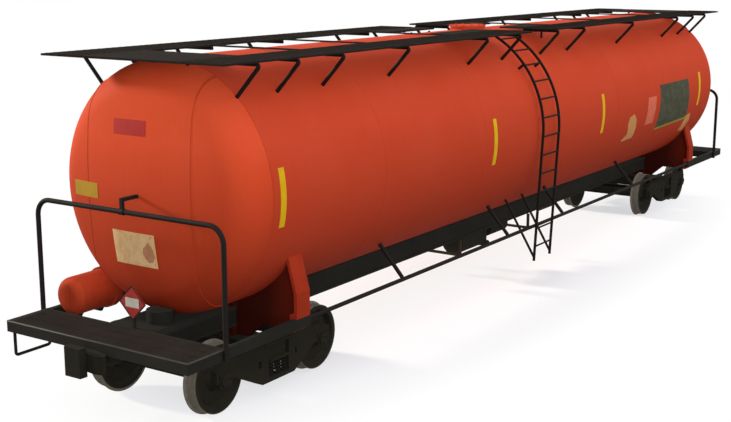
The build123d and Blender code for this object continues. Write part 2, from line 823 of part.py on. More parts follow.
# Stirrup steps under the left corners of the platforms
step_y = side_sill_y - SIDE_SILL_W / 2
step_z = side_sill_bottom - STEP_DROP
with BuildPart() as stirrups:
    for end, s in ENDS:
        outer_x = s * (platform_end - STEP_INSET)
        inner_x = outer_x - s * STEP_LENGTH
        with BuildLine(Plane.XZ.offset(-step_y)) as step_path:
            FilletPolyline(
                (outer_x, side_sill_bottom),
                (outer_x, step_z),
                (inner_x, step_z),
                (inner_x, side_sill_bottom),
                radius=2 * STEP_R,
            )
        with BuildSketch(Plane(origin=(outer_x, step_y, side_sill_bottom), z_dir=(0, 0, -1))):
            Circle(STEP_R)
        sweep(path=step_path.wires()[0])
save(stirrups.part, "stirrup_steps")

# Brake vessels, bottom outlet and hangers below the centre sill
with BuildPart() as vessels:
    for x, length, r, drop in VESSELS:
        with BuildSketch(Plane.YZ.offset(x - length / 2)):
            with Locations((0, sill_bottom - drop)):
                Circle(r)
        extrude(amount=length)
        with BuildSketch(Plane.XY.offset(sill_bottom)):
            with Locations((x, 0)):
                Rectangle(length / 2, r)
        extrude(amount=-drop)
save(vessels.part, "brake_vessels")

with BuildPart() as outlet:
    with BuildSketch(Plane.XY.offset(sill_bottom)):
        with Locations((OUTLET_X, 0)):
            Circle(OUTLET_R)
    extrude(amount=-OUTLET_DROP)
    with BuildSketch(Plane.XY.offset(sill_bottom - OUTLET_DROP)):
        with Locations((OUTLET_X, 0)):
            Circle(OUTLET_FLANGE_R)
    extrude(amount=OUTLET_FLANGE_T)
    with BuildSketch(Plane.XY.offset(sill_bottom - OUTLET_DROP)):
        with Locations((OUTLET_X, 0)):
            Circle(OUTLET_BORE_R)
    extrude(amount=OUTLET_BORE_DEPTH, mode=Mode.SUBTRACT)
save(outlet.part, "bottom_outlet")

hanger_y = sill_out + HANGER_MARGIN
with BuildPart() as hangers:
    for x in HANGER_X:
        with BuildSketch(Plane.YZ.offset(x - HANGER_BAR / 2)):
            with Locations((0, sill_bottom - HANGER_DROP / 2)):
                Rectangle(2 * hanger_y, HANGER_DROP)
            with Locations((0, sill_bottom - (HANGER_DROP - HANGER_BAR) / 2)):
                Rectangle(2 * (hanger_y - HANGER_BAR), HANGER_DROP - HANGER_BAR, mode=Mode.SUBTRACT)
        extrude(amount=HANGER_BAR)
save(hangers.part, "pipe_hangers")

# Bogies: the side frames carry springs, a bolster between them and boxes on the axles
frame_top = bolster_top + FRAME_RISE
frame_bottom = spring_seat - FRAME_DROP
window_top = frame_top - TOP_CHORD
window_half = BOLSTER_W / 2 + WINDOW_GAP
frame_end = half_base + FRAME_OVERHANG
box_top = axle_z + BOX_H / 2
leg_bottom = axle_z - LEG_DROP
jaw = BOX_W / 2 + BOX_GAP
column_x = window_half + CHORD_W
arm_x = half_base - jaw - LEG_W
slot_z = (window_top + spring_seat) / 2
for end, s in ENDS:
    bogie_x = s * bogie_place
    axle_places = (("outer", bogie_x + s * half_base), ("inner", bogie_x - s * half_base))

    with BuildPart() as side_frames:
        for side, t in SIDES:
            frame_plane = Plane(
                origin=(bogie_x, t * frame_y + FRAME_T / 2, 0), x_dir=(1, 0, 0), z_dir=(0, -1, 0)
            )
            with BuildSketch(frame_plane):
                with BuildLine():
                    half = Polyline(
                        (0, frame_top),
                        (half_base, frame_top - FRAME_FALL),
                        (frame_end, box_top + NOSE_RISE),
                        (frame_end, leg_bottom),
                        (half_base + jaw, leg_bottom),
                        (half_base + jaw, box_top),
                        (half_base - jaw, box_top),
                        (half_base - jaw, leg_bottom),
                        (arm_x, leg_bottom),
                        (window_half + FOOT_LENGTH, frame_bottom),
                        (0, frame_bottom),
                    )
                    mirror(half, about=Plane.YZ)
                make_face()
                with Locations((0, (spring_seat + window_top) / 2)):
                    Rectangle(2 * window_half, window_top - spring_seat, mode=Mode.SUBTRACT)
                with Locations((-column_x - SLOT_IN, slot_z), (column_x + SLOT_IN, slot_z)):
                    Rectangle(SLOT_W, SLOT_H, mode=Mode.SUBTRACT)
            extrude(amount=FRAME_T)
            with BuildSketch(Plane.XY.offset(window_top)):
                with Locations((bogie_x, t * (frame_out + LEDGE / 2))):
                    Rectangle(2 * column_x, LEDGE)
            extrude(amount=LEDGE)
            with BuildSketch(Plane.XY.offset(frame_bottom)):
                for k in (-1, 1):
                    with BuildLine():
                        Polyline(
                            (bogie_x + k * column_x, t * frame_out),
                            (bogie_x + k * arm_x, t * (frame_in + ARM_T)),
                            (bogie_x + k * frame_end, t * (frame_in + ARM_T)),
                            (bogie_x + k * frame_end, t * frame_out),
                            close=True,
                        )
                    make_face()
            extrude(amount=frame_top - frame_bottom, mode=Mode.SUBTRACT)
    save(side_frames.part, f"side_frames_{end}")

    with BuildPart() as bolster:
        with BuildSketch(Plane.XY.offset(bolster_bottom)):
            with Locations((bogie_x, 0)):
                Rectangle(BOLSTER_W, 2 * (frame_out - BOLSTER_IN))
        extrude(amount=BOLSTER_H)
        with BuildSketch(Plane.XY.offset(bolster_bottom)):
            with Locations((bogie_x, 0)):
                Rectangle(BOLSTER_W, 2 * (frame_out + BOLSTER_LIP))
        extrude(amount=BOLSTER_LIP_T)
        with BuildSketch(Plane.XY.offset(bolster_top)):
            with Locations((bogie_x, 0)):
                Circle(BOWL_R)
        extrude(amount=BOWL_T)
    save(bolster.part, f"bolster_{end}")

    with BuildPart() as springs:
        with BuildSketch(Plane.XY.offset(spring_seat)):
            with Locations((bogie_x, 0)):
                with GridLocations(SPRING_PITCH, 2 * frame_y, 3, 2):
                    Circle(SPRING_R)
        extrude(amount=SPRING_H)
    save(springs.part, f"springs_{end}")

    with BuildPart() as axle_boxes:
        for place, axle_x in axle_places:
            for side, t in SIDES:
                with BuildSketch(Plane.XZ.offset(-t * box_y - BOX_T / 2)):
                    with Locations((axle_x, axle_z)):
                        Rectangle(BOX_W, BOX_H)
                        Circle(JOURNAL_R + RUNNING_GAP, mode=Mode.SUBTRACT)
                extrude(amount=BOX_T)
    save(axle_boxes.part, f"axle_boxes_{end}")

    with BuildPart() as brake_beams:
        for place, axle_x in axle_places:
            inward = 1 if bogie_x > axle_x else -1
            shoe_x = axle_x + inward * (TREAD_R + BRAKE_GAP + SHOE_T / 2)
            shoe_y = wheel_y + FLANGE_W / 2
            with BuildSketch(Plane.XY.offset(axle_z - BEAM_T / 2)):
                with Locations((shoe_x + inward * (SHOE_T + BEAM_T) / 2, 0)):
                    Rectangle(BEAM_T, 2 * frame_in)
            extrude(amount=BEAM_T)
            with BuildSketch(Plane.XY.offset(axle_z - SHOE_H / 2)):
                with Locations((shoe_x, shoe_y), (shoe_x, -shoe_y)):
                    Rectangle(SHOE_T, SHOE_W)
            extrude(amount=SHOE_H)
    save(brake_beams.part, f"brake_beams_{end}")

    for place, axle_x in axle_places:
        axle_line = Axis((axle_x, 0, axle_z), (0, 1, 0))
        axle_plane = Plane(origin=(axle_x, 0, axle_z), x_dir=(0, 1, 0), z_dir=(-1, 0, 0))
        hub_back = wheel_y - HUB_W / 2
        hub_front = wheel_y + HUB_W / 2
        cap_y = box_y + BOX_T / 2 + RUNNING_GAP
        with BuildPart() as axle:
            with BuildSketch(axle_plane):
                with BuildLine():
                    half = Polyline(
                        (0, AXLE_R),
                        (hub_back - SEAT_R, AXLE_R),
                        (hub_back, SEAT_R),
                        (hub_front, SEAT_R),
                        (hub_front, JOURNAL_R),
                        (cap_y, JOURNAL_R),
                        (cap_y, CAP_R),
                        (cap_y + CAP_T, CAP_R),
                        (cap_y + CAP_T, 0),
                        (0, 0),
                    )
                    mirror(half, about=Plane.YZ)
                make_face()
            revolve(axis=axle_line)
        save(axle.part, f"axle_{end}_{place}")

        rim_r = TREAD_R - RIM_T
        tip_r = TREAD_R + FLANGE_H
        rim_front = WHEEL_BACK_Y + RIM_W
        with BuildPart() as wheels:
            for side, t in SIDES:
                with BuildSketch(axle_plane):
                    with BuildLine():
                        Polyline(
                            (t * hub_back, SEAT_R + PRESS_GAP),
                            (t * hub_back, HUB_R),
                            (t * (wheel_y - WEB_T / 2), HUB_R + WEB_T),
                            (t * (wheel_y - WEB_T), rim_r - WEB_T),
                            (t * WHEEL_BACK_Y, rim_r),
                            (t * WHEEL_BACK_Y, TREAD_R + FLANGE_H / 2),
                            (t * (WHEEL_BACK_Y + FLANGE_W / 4), tip_r),
                            (t * (WHEEL_BACK_Y + FLANGE_W / 2), tip_r),
                            (t * (WHEEL_BACK_Y + FLANGE_W), TREAD_R),
                            (t * rim_front, TREAD_R),
                            (t * rim_front, rim_r),
                            (t * wheel_y, rim_r - WEB_T),
                            (t * (wheel_y + WEB_T / 2), HUB_R + WEB_T),
                            (t * hub_front, HUB_R),
                            (t * hub_front, SEAT_R + PRESS_GAP),
                            close=True,
                        )
                    make_face()
                revolve(axis=axle_line)
        save(wheels.part, f"wheels_{end}_{place}")
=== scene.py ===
# %% [markdown]
# # A railway tank car
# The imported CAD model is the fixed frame: every node sits where it belongs, in metres, with X along
# the car and Z up. This lesson dresses it. It gives each node a finish, and adds what is too small
# for the solids: weld beads, bolts, grip bars, coil springs, marker strips and blank plates.

# %% Load the frame
import functools
import json
import math
import bmesh
import bpy
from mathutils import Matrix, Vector


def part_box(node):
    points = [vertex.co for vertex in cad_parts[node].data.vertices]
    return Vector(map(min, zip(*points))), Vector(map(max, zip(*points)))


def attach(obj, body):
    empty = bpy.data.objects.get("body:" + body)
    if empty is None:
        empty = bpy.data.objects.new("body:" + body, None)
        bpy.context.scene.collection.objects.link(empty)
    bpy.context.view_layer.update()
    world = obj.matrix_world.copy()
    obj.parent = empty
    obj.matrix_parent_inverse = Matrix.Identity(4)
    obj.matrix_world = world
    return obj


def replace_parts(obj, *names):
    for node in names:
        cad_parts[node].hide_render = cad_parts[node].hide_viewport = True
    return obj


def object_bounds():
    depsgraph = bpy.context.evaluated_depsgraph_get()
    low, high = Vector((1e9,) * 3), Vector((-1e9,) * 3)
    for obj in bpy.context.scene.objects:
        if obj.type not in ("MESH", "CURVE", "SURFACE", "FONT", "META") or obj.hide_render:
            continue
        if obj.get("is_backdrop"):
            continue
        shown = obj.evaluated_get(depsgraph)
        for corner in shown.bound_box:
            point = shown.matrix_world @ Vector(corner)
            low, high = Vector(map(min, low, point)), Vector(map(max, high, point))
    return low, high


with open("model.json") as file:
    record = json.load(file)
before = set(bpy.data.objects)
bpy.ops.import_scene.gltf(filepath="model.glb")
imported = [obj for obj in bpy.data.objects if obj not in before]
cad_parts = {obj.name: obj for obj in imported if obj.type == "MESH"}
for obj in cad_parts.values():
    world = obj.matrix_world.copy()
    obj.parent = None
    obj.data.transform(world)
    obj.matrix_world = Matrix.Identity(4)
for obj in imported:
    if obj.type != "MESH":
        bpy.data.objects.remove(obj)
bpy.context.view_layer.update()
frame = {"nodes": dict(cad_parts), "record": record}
nodes = frame["nodes"]

# %% [markdown]
# ## Reading sizes from the frame
# The pieces below sit on the barrel, so its radius, its axis and the line where each dished head
# starts are read from the nodes. The head is a torisphere: a wide crown arc and a small knuckle
# arc. The two ratios are those of the solid. Two functions give a place on the skin. The car reads
# the same from both sides, so the left side and the far head are the right side and the near head
# turned half round.

# %% Places on the barrel
shell_low, shell_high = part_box("tank_shell")
TANK_R = (shell_high.y - shell_low.y) / 2
TANK_Z = (shell_high.z + shell_low.z) / 2
SHELL_END = shell_high.x
CROWN_RATIO, KNUCKLE_RATIO = 4.6, 0.295
CROWN_R = CROWN_RATIO * TANK_R
KNUCKLE_R = KNUCKLE_RATIO * TANK_R
KNUCKLE_MID = TANK_R - KNUCKLE_R
CROWN_EDGE = KNUCKLE_MID * CROWN_R / (CROWN_R - KNUCKLE_R)
HEAD_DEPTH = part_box("tank_head_far")[1].x - SHELL_END
ENDS = (("near", -1), ("far", 1))
SIDES = (("right", 1), ("left", -1))


def on_shell(turn, x, degrees, off):
    """A place off the shell's skin: along the car, up from the middle of the right side."""
    reach, angle = TANK_R + off, math.radians(degrees)
    return Vector((turn * x, -turn * reach * math.cos(angle), TANK_Z + reach * math.sin(angle)))


def on_head(s, y, z, off):
    """A place off a head's skin, in front of a place across and up the car."""
    r = math.hypot(y, z - TANK_Z)
    if r < CROWN_EDGE:
        bulge = HEAD_DEPTH - CROWN_R + math.sqrt(CROWN_R ** 2 - r * r)
    else:
        bulge = math.sqrt(max(0, KNUCKLE_R ** 2 - (r - KNUCKLE_MID) ** 2))
    return Vector((s * (SHELL_END + bulge + off), -s * y, z))


print("barrel radius", round(TANK_R, 3), "axis height", round(TANK_Z, 3))
print("head depth", round(HEAD_DEPTH, 3))

# %% [markdown]
# ## The camera
# The photo was taken from the near right, a little above the roof. The camera was fitted to the
# barrel's outline, the deck and the wheels by least squares, so its place, its turn and its lens
# are plain numbers. The frame is 731 by 422 pixels and the lens is centred on it.

# %% Camera
EYE = Vector((-17.917, -9.654, 5.218))
YAW, PITCH = math.radians(33.68), math.radians(-11.75)
FOCAL_PX, FRAME_PX, SENSOR_MM = 1201.2, 731, 36
look = Vector((
    math.cos(YAW) * math.cos(PITCH), math.sin(YAW) * math.cos(PITCH), math.sin(PITCH)))
camera = bpy.data.objects.new("camera", bpy.data.cameras.new("camera"))
camera.location = EYE
camera.rotation_euler = look.to_track_quat("-Z", "Y").to_euler()
camera.data.sensor_width = SENSOR_MM
camera.data.lens = SENSOR_MM * FOCAL_PX / FRAME_PX
bpy.context.scene.collection.objects.link(camera)
bpy.context.scene.camera = camera
print("lens", round(camera.data.lens, 2), "mm")

# %% [markdown]
# ## Helpers for node trees
# A colour is written as the hex value that a paint chart would give, which is sRGB. Blender works
# in linear light, so one function converts it. Another adds a node, sets its settings, and fills
# each input with a value or a link. All the materials and all the Geometry Nodes use it. A third
# starts a material with an empty tree.

# %% Colour and node helpers
def hex_colour(code):
    parts = [int(code[i:i + 2], 16) / 255 for i in (1, 3, 5)]
    linear = [c / 12.92 if c <= 0.04045 else ((c + 0.055) / 1.055) ** 2.4 for c in parts]
    return (*linear, 1.0)


def add(tree, kind, inputs=None, **settings):
    made = tree.nodes.new(kind)
    for key, value in settings.items():
        setattr(made, key, value)
    for key, value in (inputs or {}).items():
        socket = made.inputs[key]
        if isinstance(value, bpy.types.NodeSocket):
            tree.links.new(value, socket)
        else:
            socket.default_value = value
    return made


def empty_material(name):
    material = bpy.data.materials.new(name)
    material.use_nodes = True
    material.node_tree.nodes.clear()
    return material, material.node_tree


print("the barrel's orange in linear light", [round(c, 3) for c in hex_colour("#BD3F22")])

# %% [markdown]
# ## One recipe for painted and cast steel
# Outdoor steel on a freight car has four things to see: broad patches where the paint has faded,
# streaks that rain has drawn downwards, grime that thickens towards the rails, and small chips. All
# of them read Object coordinates, so they keep their real size: patches from 60 to 900 mm, streaks
# 40 mm wide, chips near 70 mm. The grit in the bump is drawn at 12 mm, because real grit is far
# smaller than a pixel here. Dust scatters light, so most of these finishes shine less than new
# paint.

# %% Weathered steel
STREAK_MM, CHIP_MM, GRIT_MM = 40, 70, 12
STREAKS_PER_M_DOWN = 1.2
GRIT_DEPTH, GRIT_STRENGTH = 0.002, 0.12
GRIME_FLOOR = 0.2


def weathered_steel(name, paint, faded, grime, chip, rough=0.7, shine=0.15, patch_mm=400,
                    chips=0.68, grime_top=1.2, grime_most=0.4, streaks=0.2):
    material, tree = empty_material(name)
    place = add(tree, "ShaderNodeTexCoord").outputs["Object"]
    axes = add(tree, "ShaderNodeSeparateXYZ", {0: place})

    patches = add(tree, "ShaderNodeTexNoise", {
        "Vector": place, "Scale": 1000 / patch_mm, "Detail": 5, "Roughness": 0.6})
    patch = add(tree, "ShaderNodeMapRange", {
        0: patches.outputs["Fac"], 1: 0.35, 2: 0.7, 3: 0.0, 4: 1.0})
    painted = add(tree, "ShaderNodeMixRGB", {
        0: patch.outputs[0], 1: hex_colour(paint), 2: hex_colour(faded)})

    squeezed = add(tree, "ShaderNodeMapping", {
        "Vector": place, "Scale": (1000 / STREAK_MM, 1000 / STREAK_MM, STREAKS_PER_M_DOWN)})
    rain = add(tree, "ShaderNodeTexNoise", {
        "Vector": squeezed.outputs[0], "Scale": 1.0, "Detail": 3})
    run = add(tree, "ShaderNodeMapRange", {
        0: rain.outputs["Fac"], 1: 0.5, 2: 0.8, 3: 0.0, 4: streaks})
    streaked = add(tree, "ShaderNodeMixRGB", {
        0: run.outputs[0], 1: painted.outputs[0], 2: hex_colour(grime)})

    low = add(tree, "ShaderNodeMapRange", {
        0: axes.outputs["Z"], 1: GRIME_FLOOR, 2: grime_top, 3: grime_most, 4: 0.0})
    blots = add(tree, "ShaderNodeMapRange", {
        0: patches.outputs["Fac"], 1: 0.3, 2: 0.7, 3: 0.8, 4: 1.2})
    film = add(tree, "ShaderNodeMath", {0: low.outputs[0], 1: blots.outputs[0]},
               operation="MULTIPLY", use_clamp=True)
    grimy = add(tree, "ShaderNodeMixRGB", {
        0: film.outputs[0], 1: streaked.outputs[0], 2: hex_colour(grime)})

    spots = add(tree, "ShaderNodeTexNoise", {
        "Vector": place, "Scale": 1000 / CHIP_MM, "Detail": 6, "Roughness": 0.7})
    flaked = add(tree, "ShaderNodeMapRange", {
        0: spots.outputs["Fac"], 1: chips, 2: chips + 0.05, 3: 0.0, 4: 0.8})
    chipped = add(tree, "ShaderNodeMixRGB", {
        0: flaked.outputs[0], 1: grimy.outputs[0], 2: hex_colour(chip)})

    dull = add(tree, "ShaderNodeMapRange", {
        0: patches.outputs["Fac"], 1: 0.2, 2: 0.8, 3: rough - 0.1, 4: rough + 0.15})
    grit = add(tree, "ShaderNodeTexNoise", {
        "Vector": place, "Scale": 1000 / GRIT_MM, "Detail": 2})
    bump = add(tree, "ShaderNodeBump", {
        "Strength": GRIT_STRENGTH, "Distance": GRIT_DEPTH, "Height": grit.outputs["Fac"]})
    shader = add(tree, "ShaderNodeBsdfPrincipled", {
        "Base Color": chipped.outputs[0], "Roughness": dull.outputs[0],
        "Specular IOR Level": shine, "Normal": bump.outputs[0]})
    add(tree, "ShaderNodeOutputMaterial", {"Surface": shader.outputs[0]})
    return material


print("weathered steel recipe ready")

# %% [markdown]
# ## The finishes of the car
# The barrel is alkyd paint, chalky from the sun and browned below. The walkway and the decks are
# rusted plate under old black paint, which is why they look brown. The rails are matt black. The
# frames and the bogies are rolled and cast steel under road film. The names are those of the
# material slots in the record, and each finish is one call of the recipe.

# %% Finishes by slot
finishes = {
    # chalked alkyd paint: a warm orange with a soft sheen, browner where road dirt clings
    "tank_paint": weathered_steel(
        "chalked_alkyd_orange", "#BD3F22", "#C2462B", "#5A1104", "#A2381E", rough=0.7, shine=0.06,
        patch_mm=900, chips=0.78, grime_top=3.2, grime_most=0.5, streaks=0.06),
    # rusted tread plate: brown-black, dry and dull
    "walk_plate": weathered_steel(
        "rusted_tread_plate", "#231F1C", "#2C2723", "#332A25", "#42302A", rough=0.95, shine=0.02),
    # matt black bitumen paint: swallows light and shows little but its edges
    "rail_black": weathered_steel(
        "matt_bitumen_black", "#151210", "#1C1815", "#241D18", "#3A281F", rough=0.7, shine=0.12,
        chips=0.74, streaks=0.1),
    # rolled steel under road film: cold grey-black with dusty lower faces
    "frame_black": weathered_steel(
        "road_filmed_steel", "#1C1C19", "#24241F", "#2E2A22", "#3A3026", rough=0.8, shine=0.08,
        chips=0.72),
    # cast steel: rough and olive-brown from brake dust and oil
    "bogie_iron": weathered_steel(
        "oiled_cast_steel", "#191813", "#221F18", "#2C281E", "#3A2C20", rough=0.85, shine=0.08,
        grime_top=1.0),
    # spring steel: darker than the castings, with less sheen
    "spring_steel": weathered_steel(
        "blued_spring_steel", "#12110E", "#191713", "#221E17", "#2A2018", rough=0.85, shine=0.05),
    # stove enamel: a dull clear red with chipped edges
    "placard_red": weathered_steel(
        "stove_enamel_red", "#8E1F1A", "#9C2822", "#561A14", "#5E4A42", rough=0.5, shine=0.3,
        patch_mm=90, chips=0.74),
    # rusted flat bar: dry brown
    "hanger_rust": weathered_steel(
        "rusted_flat_bar", "#332C20", "#3C3427", "#453B2C", "#4A3826", rough=0.85, shine=0.08,
        chips=0.66),
}
print("finishes", sorted(finishes))

# %% [markdown]
# ## Heads, saddles and reservoir
# These have the barrel's paint with other dirt. A head is darker towards the bottom. A saddle's web
# stands in the shade between its flanges, and that shade is painted into its colour: the web is
# painted almost black, and so is all that lies inside the flanges. The web's faces lie near the
# saddle's middle and look along the car, and the material finds them by that.

# %% Painted shade on the webs
WEB_REACH, FLANGE_HALF, FLANGE_IN = 0.06, 0.13, 1.15
FACING_ALONG = 0.7
# painted shade: across the car, the shade on the webs and inner faces fades between these two
# reaches, from the first share of near-black to the second
WEB_SHADE_FROM, WEB_SHADE_TO = 0.9, 1.4
WEB_SHADE_MOST, WEB_SHADE_LEAST = 0.92, 0.6


def shade_webs(material):
    tree = material.node_tree
    web_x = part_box("saddle_far")[1].x - FLANGE_HALF
    place = add(tree, "ShaderNodeTexCoord")
    axes = add(tree, "ShaderNodeSeparateXYZ", {0: place.outputs["Object"]})
    faces = add(tree, "ShaderNodeSeparateXYZ", {0: place.outputs["Normal"]})
    along = add(tree, "ShaderNodeMath", {0: axes.outputs["X"]}, operation="ABSOLUTE")
    inner = add(tree, "ShaderNodeMath", {0: along.outputs[0], 1: web_x, 2: WEB_REACH},
                operation="COMPARE")
    turned = add(tree, "ShaderNodeMath", {0: faces.outputs["X"]}, operation="ABSOLUTE")
    square = add(tree, "ShaderNodeMath", {0: turned.outputs[0], 1: FACING_ALONG},
                 operation="GREATER_THAN")
    web = add(tree, "ShaderNodeMath", {0: inner.outputs[0], 1: square.outputs[0]},
              operation="MULTIPLY")
    across = add(tree, "ShaderNodeMath", {0: axes.outputs["Y"]}, operation="ABSOLUTE")
    hidden = add(tree, "ShaderNodeMath", {0: across.outputs[0], 1: FLANGE_IN},
                 operation="LESS_THAN")
    shaded = add(tree, "ShaderNodeMath", {0: web.outputs[0], 1: hidden.outputs[0]},
                 operation="MAXIMUM")
    web_shade_depth = add(tree, "ShaderNodeMapRange", {
        0: across.outputs[0], 1: WEB_SHADE_FROM, 2: WEB_SHADE_TO, 3: WEB_SHADE_MOST, 4: WEB_SHADE_LEAST})
    amount = add(tree, "ShaderNodeMath", {0: shaded.outputs[0], 1: web_shade_depth.outputs[0]},
                 operation="MULTIPLY")
    shader = tree.nodes["Principled BSDF"]
    painted = shader.inputs["Base Color"].links[0].from_socket
    # painted shade: the webs and all that lies inside the flanges are mixed towards a near-black red,
    # standing in for the shade between the flanges
    web_shade_mix = add(tree, "ShaderNodeMixRGB", {
        0: amount.outputs[0], 1: painted, 2: hex_colour("#240A05")})
    tree.links.new(web_shade_mix.outputs[0], shader.inputs["Base Color"])
    return material


print("web shade ready")

# %% [markdown]
# ## Their three paints
# The reservoir, the saddles and the heads each get their own call of the recipe. The first two are
# nodes with a finish of their own. The heads' paint goes on the skins that are made further down.

# %% Paints of heads, saddles and reservoir
# alkyd paint on the reservoir: the barrel's orange, cleaner and with a softer edge of dirt
reservoir_paint = weathered_steel(
    "alkyd_orange_reservoir", "#AE3A1E", "#B44226", "#5A1205", "#983620", rough=0.7, shine=0.06,
    grime_top=1.7, grime_most=0.7)
# alkyd paint on the saddles: dark red flanges, with painted shade that makes the webs almost black
saddle_paint = shade_webs(weathered_steel(
    "alkyd_red_saddle", "#962C17", "#A0341C", "#5A1205", "#6E2414", rough=0.7, shine=0.06,
    grime_top=1.7, grime_most=0.5))
# alkyd paint on the heads: the barrel's orange, darker towards the bottom
head_paint = weathered_steel(
    "chalked_alkyd_head", "#CC4725", "#D04E2E", "#6C1807", "#AE3C20", rough=0.7, shine=0.06,
    patch_mm=900, chips=0.78, grime_top=3.2, grime_most=1.05, streaks=0.06)
own_finish = {
    "air_reservoir": reservoir_paint, "saddle_near": saddle_paint, "saddle_far": saddle_paint}
print("own finishes", sorted(own_finish))

# %% [markdown]
# ## Rolled steel wheels
# A wheel's tread is polished by the rail and the brake shoes, and its web is brown with brake dust.
# All the axles lie at known places, so folding X twice gives the distance from the nearest axle,
# and with the height above it that gives the radius. The tread's brightness follows the radius.
# Then every node gets the finish of its slot.

# %% Wheel steel
FLANGE_H = 0.028
TREAD_FROM, TREAD_FULL = 0.012, 0.002
WEB_GRIME_MM = 60


def rolled_wheel_steel():
    # rolled steel: a grey worn tread around a dark oily web
    material, tree = empty_material("rolled_wheel_steel")
    low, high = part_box("wheels_far_outer")
    axle_x, axle_z = (low.x + high.x) / 2, (low.z + high.z) / 2
    inner_x = sum(c.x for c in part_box("wheels_far_inner")) / 2
    tread_r = high.z - axle_z - FLANGE_H
    place = add(tree, "ShaderNodeTexCoord").outputs["Object"]
    axes = add(tree, "ShaderNodeSeparateXYZ", {0: place})
    folded = add(tree, "ShaderNodeMath", {0: axes.outputs["X"]}, operation="ABSOLUTE")
    centred = add(tree, "ShaderNodeMath", {0: folded.outputs[0], 1: (axle_x + inner_x) / 2},
                  operation="SUBTRACT")
    again = add(tree, "ShaderNodeMath", {0: centred.outputs[0]}, operation="ABSOLUTE")
    across = add(tree, "ShaderNodeMath", {0: again.outputs[0], 1: (axle_x - inner_x) / 2},
                 operation="SUBTRACT")
    up = add(tree, "ShaderNodeMath", {0: axes.outputs["Z"], 1: axle_z}, operation="SUBTRACT")
    flat = add(tree, "ShaderNodeCombineXYZ", {"X": across.outputs[0], "Y": up.outputs[0]})
    radius = add(tree, "ShaderNodeVectorMath", {0: flat.outputs[0]}, operation="LENGTH")
    tread = add(tree, "ShaderNodeMapRange", {
        0: radius.outputs["Value"], 1: tread_r - TREAD_FROM, 2: tread_r - TREAD_FULL,
        3: 0.0, 4: 1.0})
    grime = add(tree, "ShaderNodeTexNoise", {
        "Vector": place, "Scale": 1000 / WEB_GRIME_MM, "Detail": 5})
    web = add(tree, "ShaderNodeMixRGB", {
        0: grime.outputs["Fac"], 1: hex_colour("#171510"), 2: hex_colour("#28241B")})
    worn = add(tree, "ShaderNodeMixRGB", {
        0: grime.outputs["Fac"], 1: hex_colour("#57534A"), 2: hex_colour("#7A7466")})
    colour = add(tree, "ShaderNodeMixRGB", {
        0: tread.outputs[0], 1: web.outputs[0], 2: worn.outputs[0]})
    dull = add(tree, "ShaderNodeMapRange", {0: tread.outputs[0], 1: 0.0, 2: 1.0, 3: 0.8, 4: 0.5})
    bump = add(tree, "ShaderNodeBump", {
        "Strength": 0.15, "Distance": GRIT_DEPTH, "Height": grime.outputs["Fac"]})
    shader = add(tree, "ShaderNodeBsdfPrincipled", {
        "Base Color": colour.outputs[0], "Roughness": dull.outputs[0],
        "Specular IOR Level": 0.12, "Normal": bump.outputs[0]})
    add(tree, "ShaderNodeOutputMaterial", {"Surface": shader.outputs[0]})
    return material


finishes["wheel_steel"] = rolled_wheel_steel()
for part in frame["record"]["subparts"]:
    mesh = nodes[part["node"]].data
    mesh.materials.clear()
    mesh.materials.append(own_finish.get(part["node"], finishes[part["material_slot"]]))

# %% [markdown]
# ## Starting and ending a tree
# Each repeated detail is a Geometry Nodes tree. It works on a small mesh of points, or on a curve.
# Its sizes are named inputs, so one tree serves several pieces. Every tree ends the same way: its
# instances become real, because the export drops instances, and they get their finish.

# %% Tree helpers
def new_tree(name, sizes):
    tree = bpy.data.node_groups.new(name, "GeometryNodeTree")
    tree.interface.new_socket("Geometry", in_out="INPUT", socket_type="NodeSocketGeometry")
    for size in sizes:
        tree.interface.new_socket(size, in_out="INPUT", socket_type="NodeSocketFloat")
    tree.interface.new_socket("Finish", in_out="INPUT", socket_type="NodeSocketMaterial")
    tree.interface.new_socket("Geometry", in_out="OUTPUT", socket_type="NodeSocketGeometry")
    return tree, tree.nodes.new("NodeGroupInput").outputs


def end_tree(tree, shape, finish):
    real = add(tree, "GeometryNodeRealizeInstances", {0: shape})
    dressed = add(tree, "GeometryNodeSetMaterial", {
        "Geometry": real.outputs[0], "Material": finish})
    add(tree, "NodeGroupOutput", {0: dressed.outputs[0]})


print("tree helpers ready")

# %% [markdown]
# ## Turning a tree's result into a piece
# The result is copied to a plain mesh at the origin, and the seed goes with its modifier, because
# the export keeps only plain meshes. The tree's inputs are set by their identifiers. Every piece then
# rides on a body, and takes the finish of the slot named in its call, unless a finish of its own is
# named there.

# %% Piece helpers
def set_piece(name, mesh, body):
    piece = bpy.data.objects.new(name, mesh)
    bpy.context.scene.collection.objects.link(piece)
    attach(piece, body)
    print(name, len(mesh.polygons), "faces")
    return piece


def grow(name, data, tree, sizes, slot, body, finish=None):
    seed = bpy.data.objects.new(name + "_seed", data)
    bpy.context.scene.collection.objects.link(seed)
    modifier = seed.modifiers.new("grow", "NODES")
    modifier.node_group = tree
    keys = {s.name: s.identifier for s in tree.interface.items_tree if s.in_out == "INPUT"}
    for size, value in {**sizes, "Finish": finish or finishes[slot]}.items():
        modifier[keys[size]] = value
    graph = bpy.context.evaluated_depsgraph_get()
    mesh = bpy.data.meshes.new_from_object(seed.evaluated_get(graph))
    bpy.data.objects.remove(seed)
    return set_piece(name, mesh, body)


print("piece helpers ready")

# %% [markdown]
# ## Seeds for the trees
# A tree that puts bolts or springs in place needs points, and for bolts also the way each one
# looks, which is stored on the points. A tree that sweeps a section needs lines, open or closed.

# %% Points and lines
def points(name, places, aims=None):
    mesh = bpy.data.meshes.new(name)
    mesh.from_pydata([tuple(p) for p in places], [], [])
    if aims:
        aim = mesh.attributes.new("aim", "FLOAT_VECTOR", "POINT")
        for item, value in zip(aim.data, aims):
            item.vector = value
    return mesh


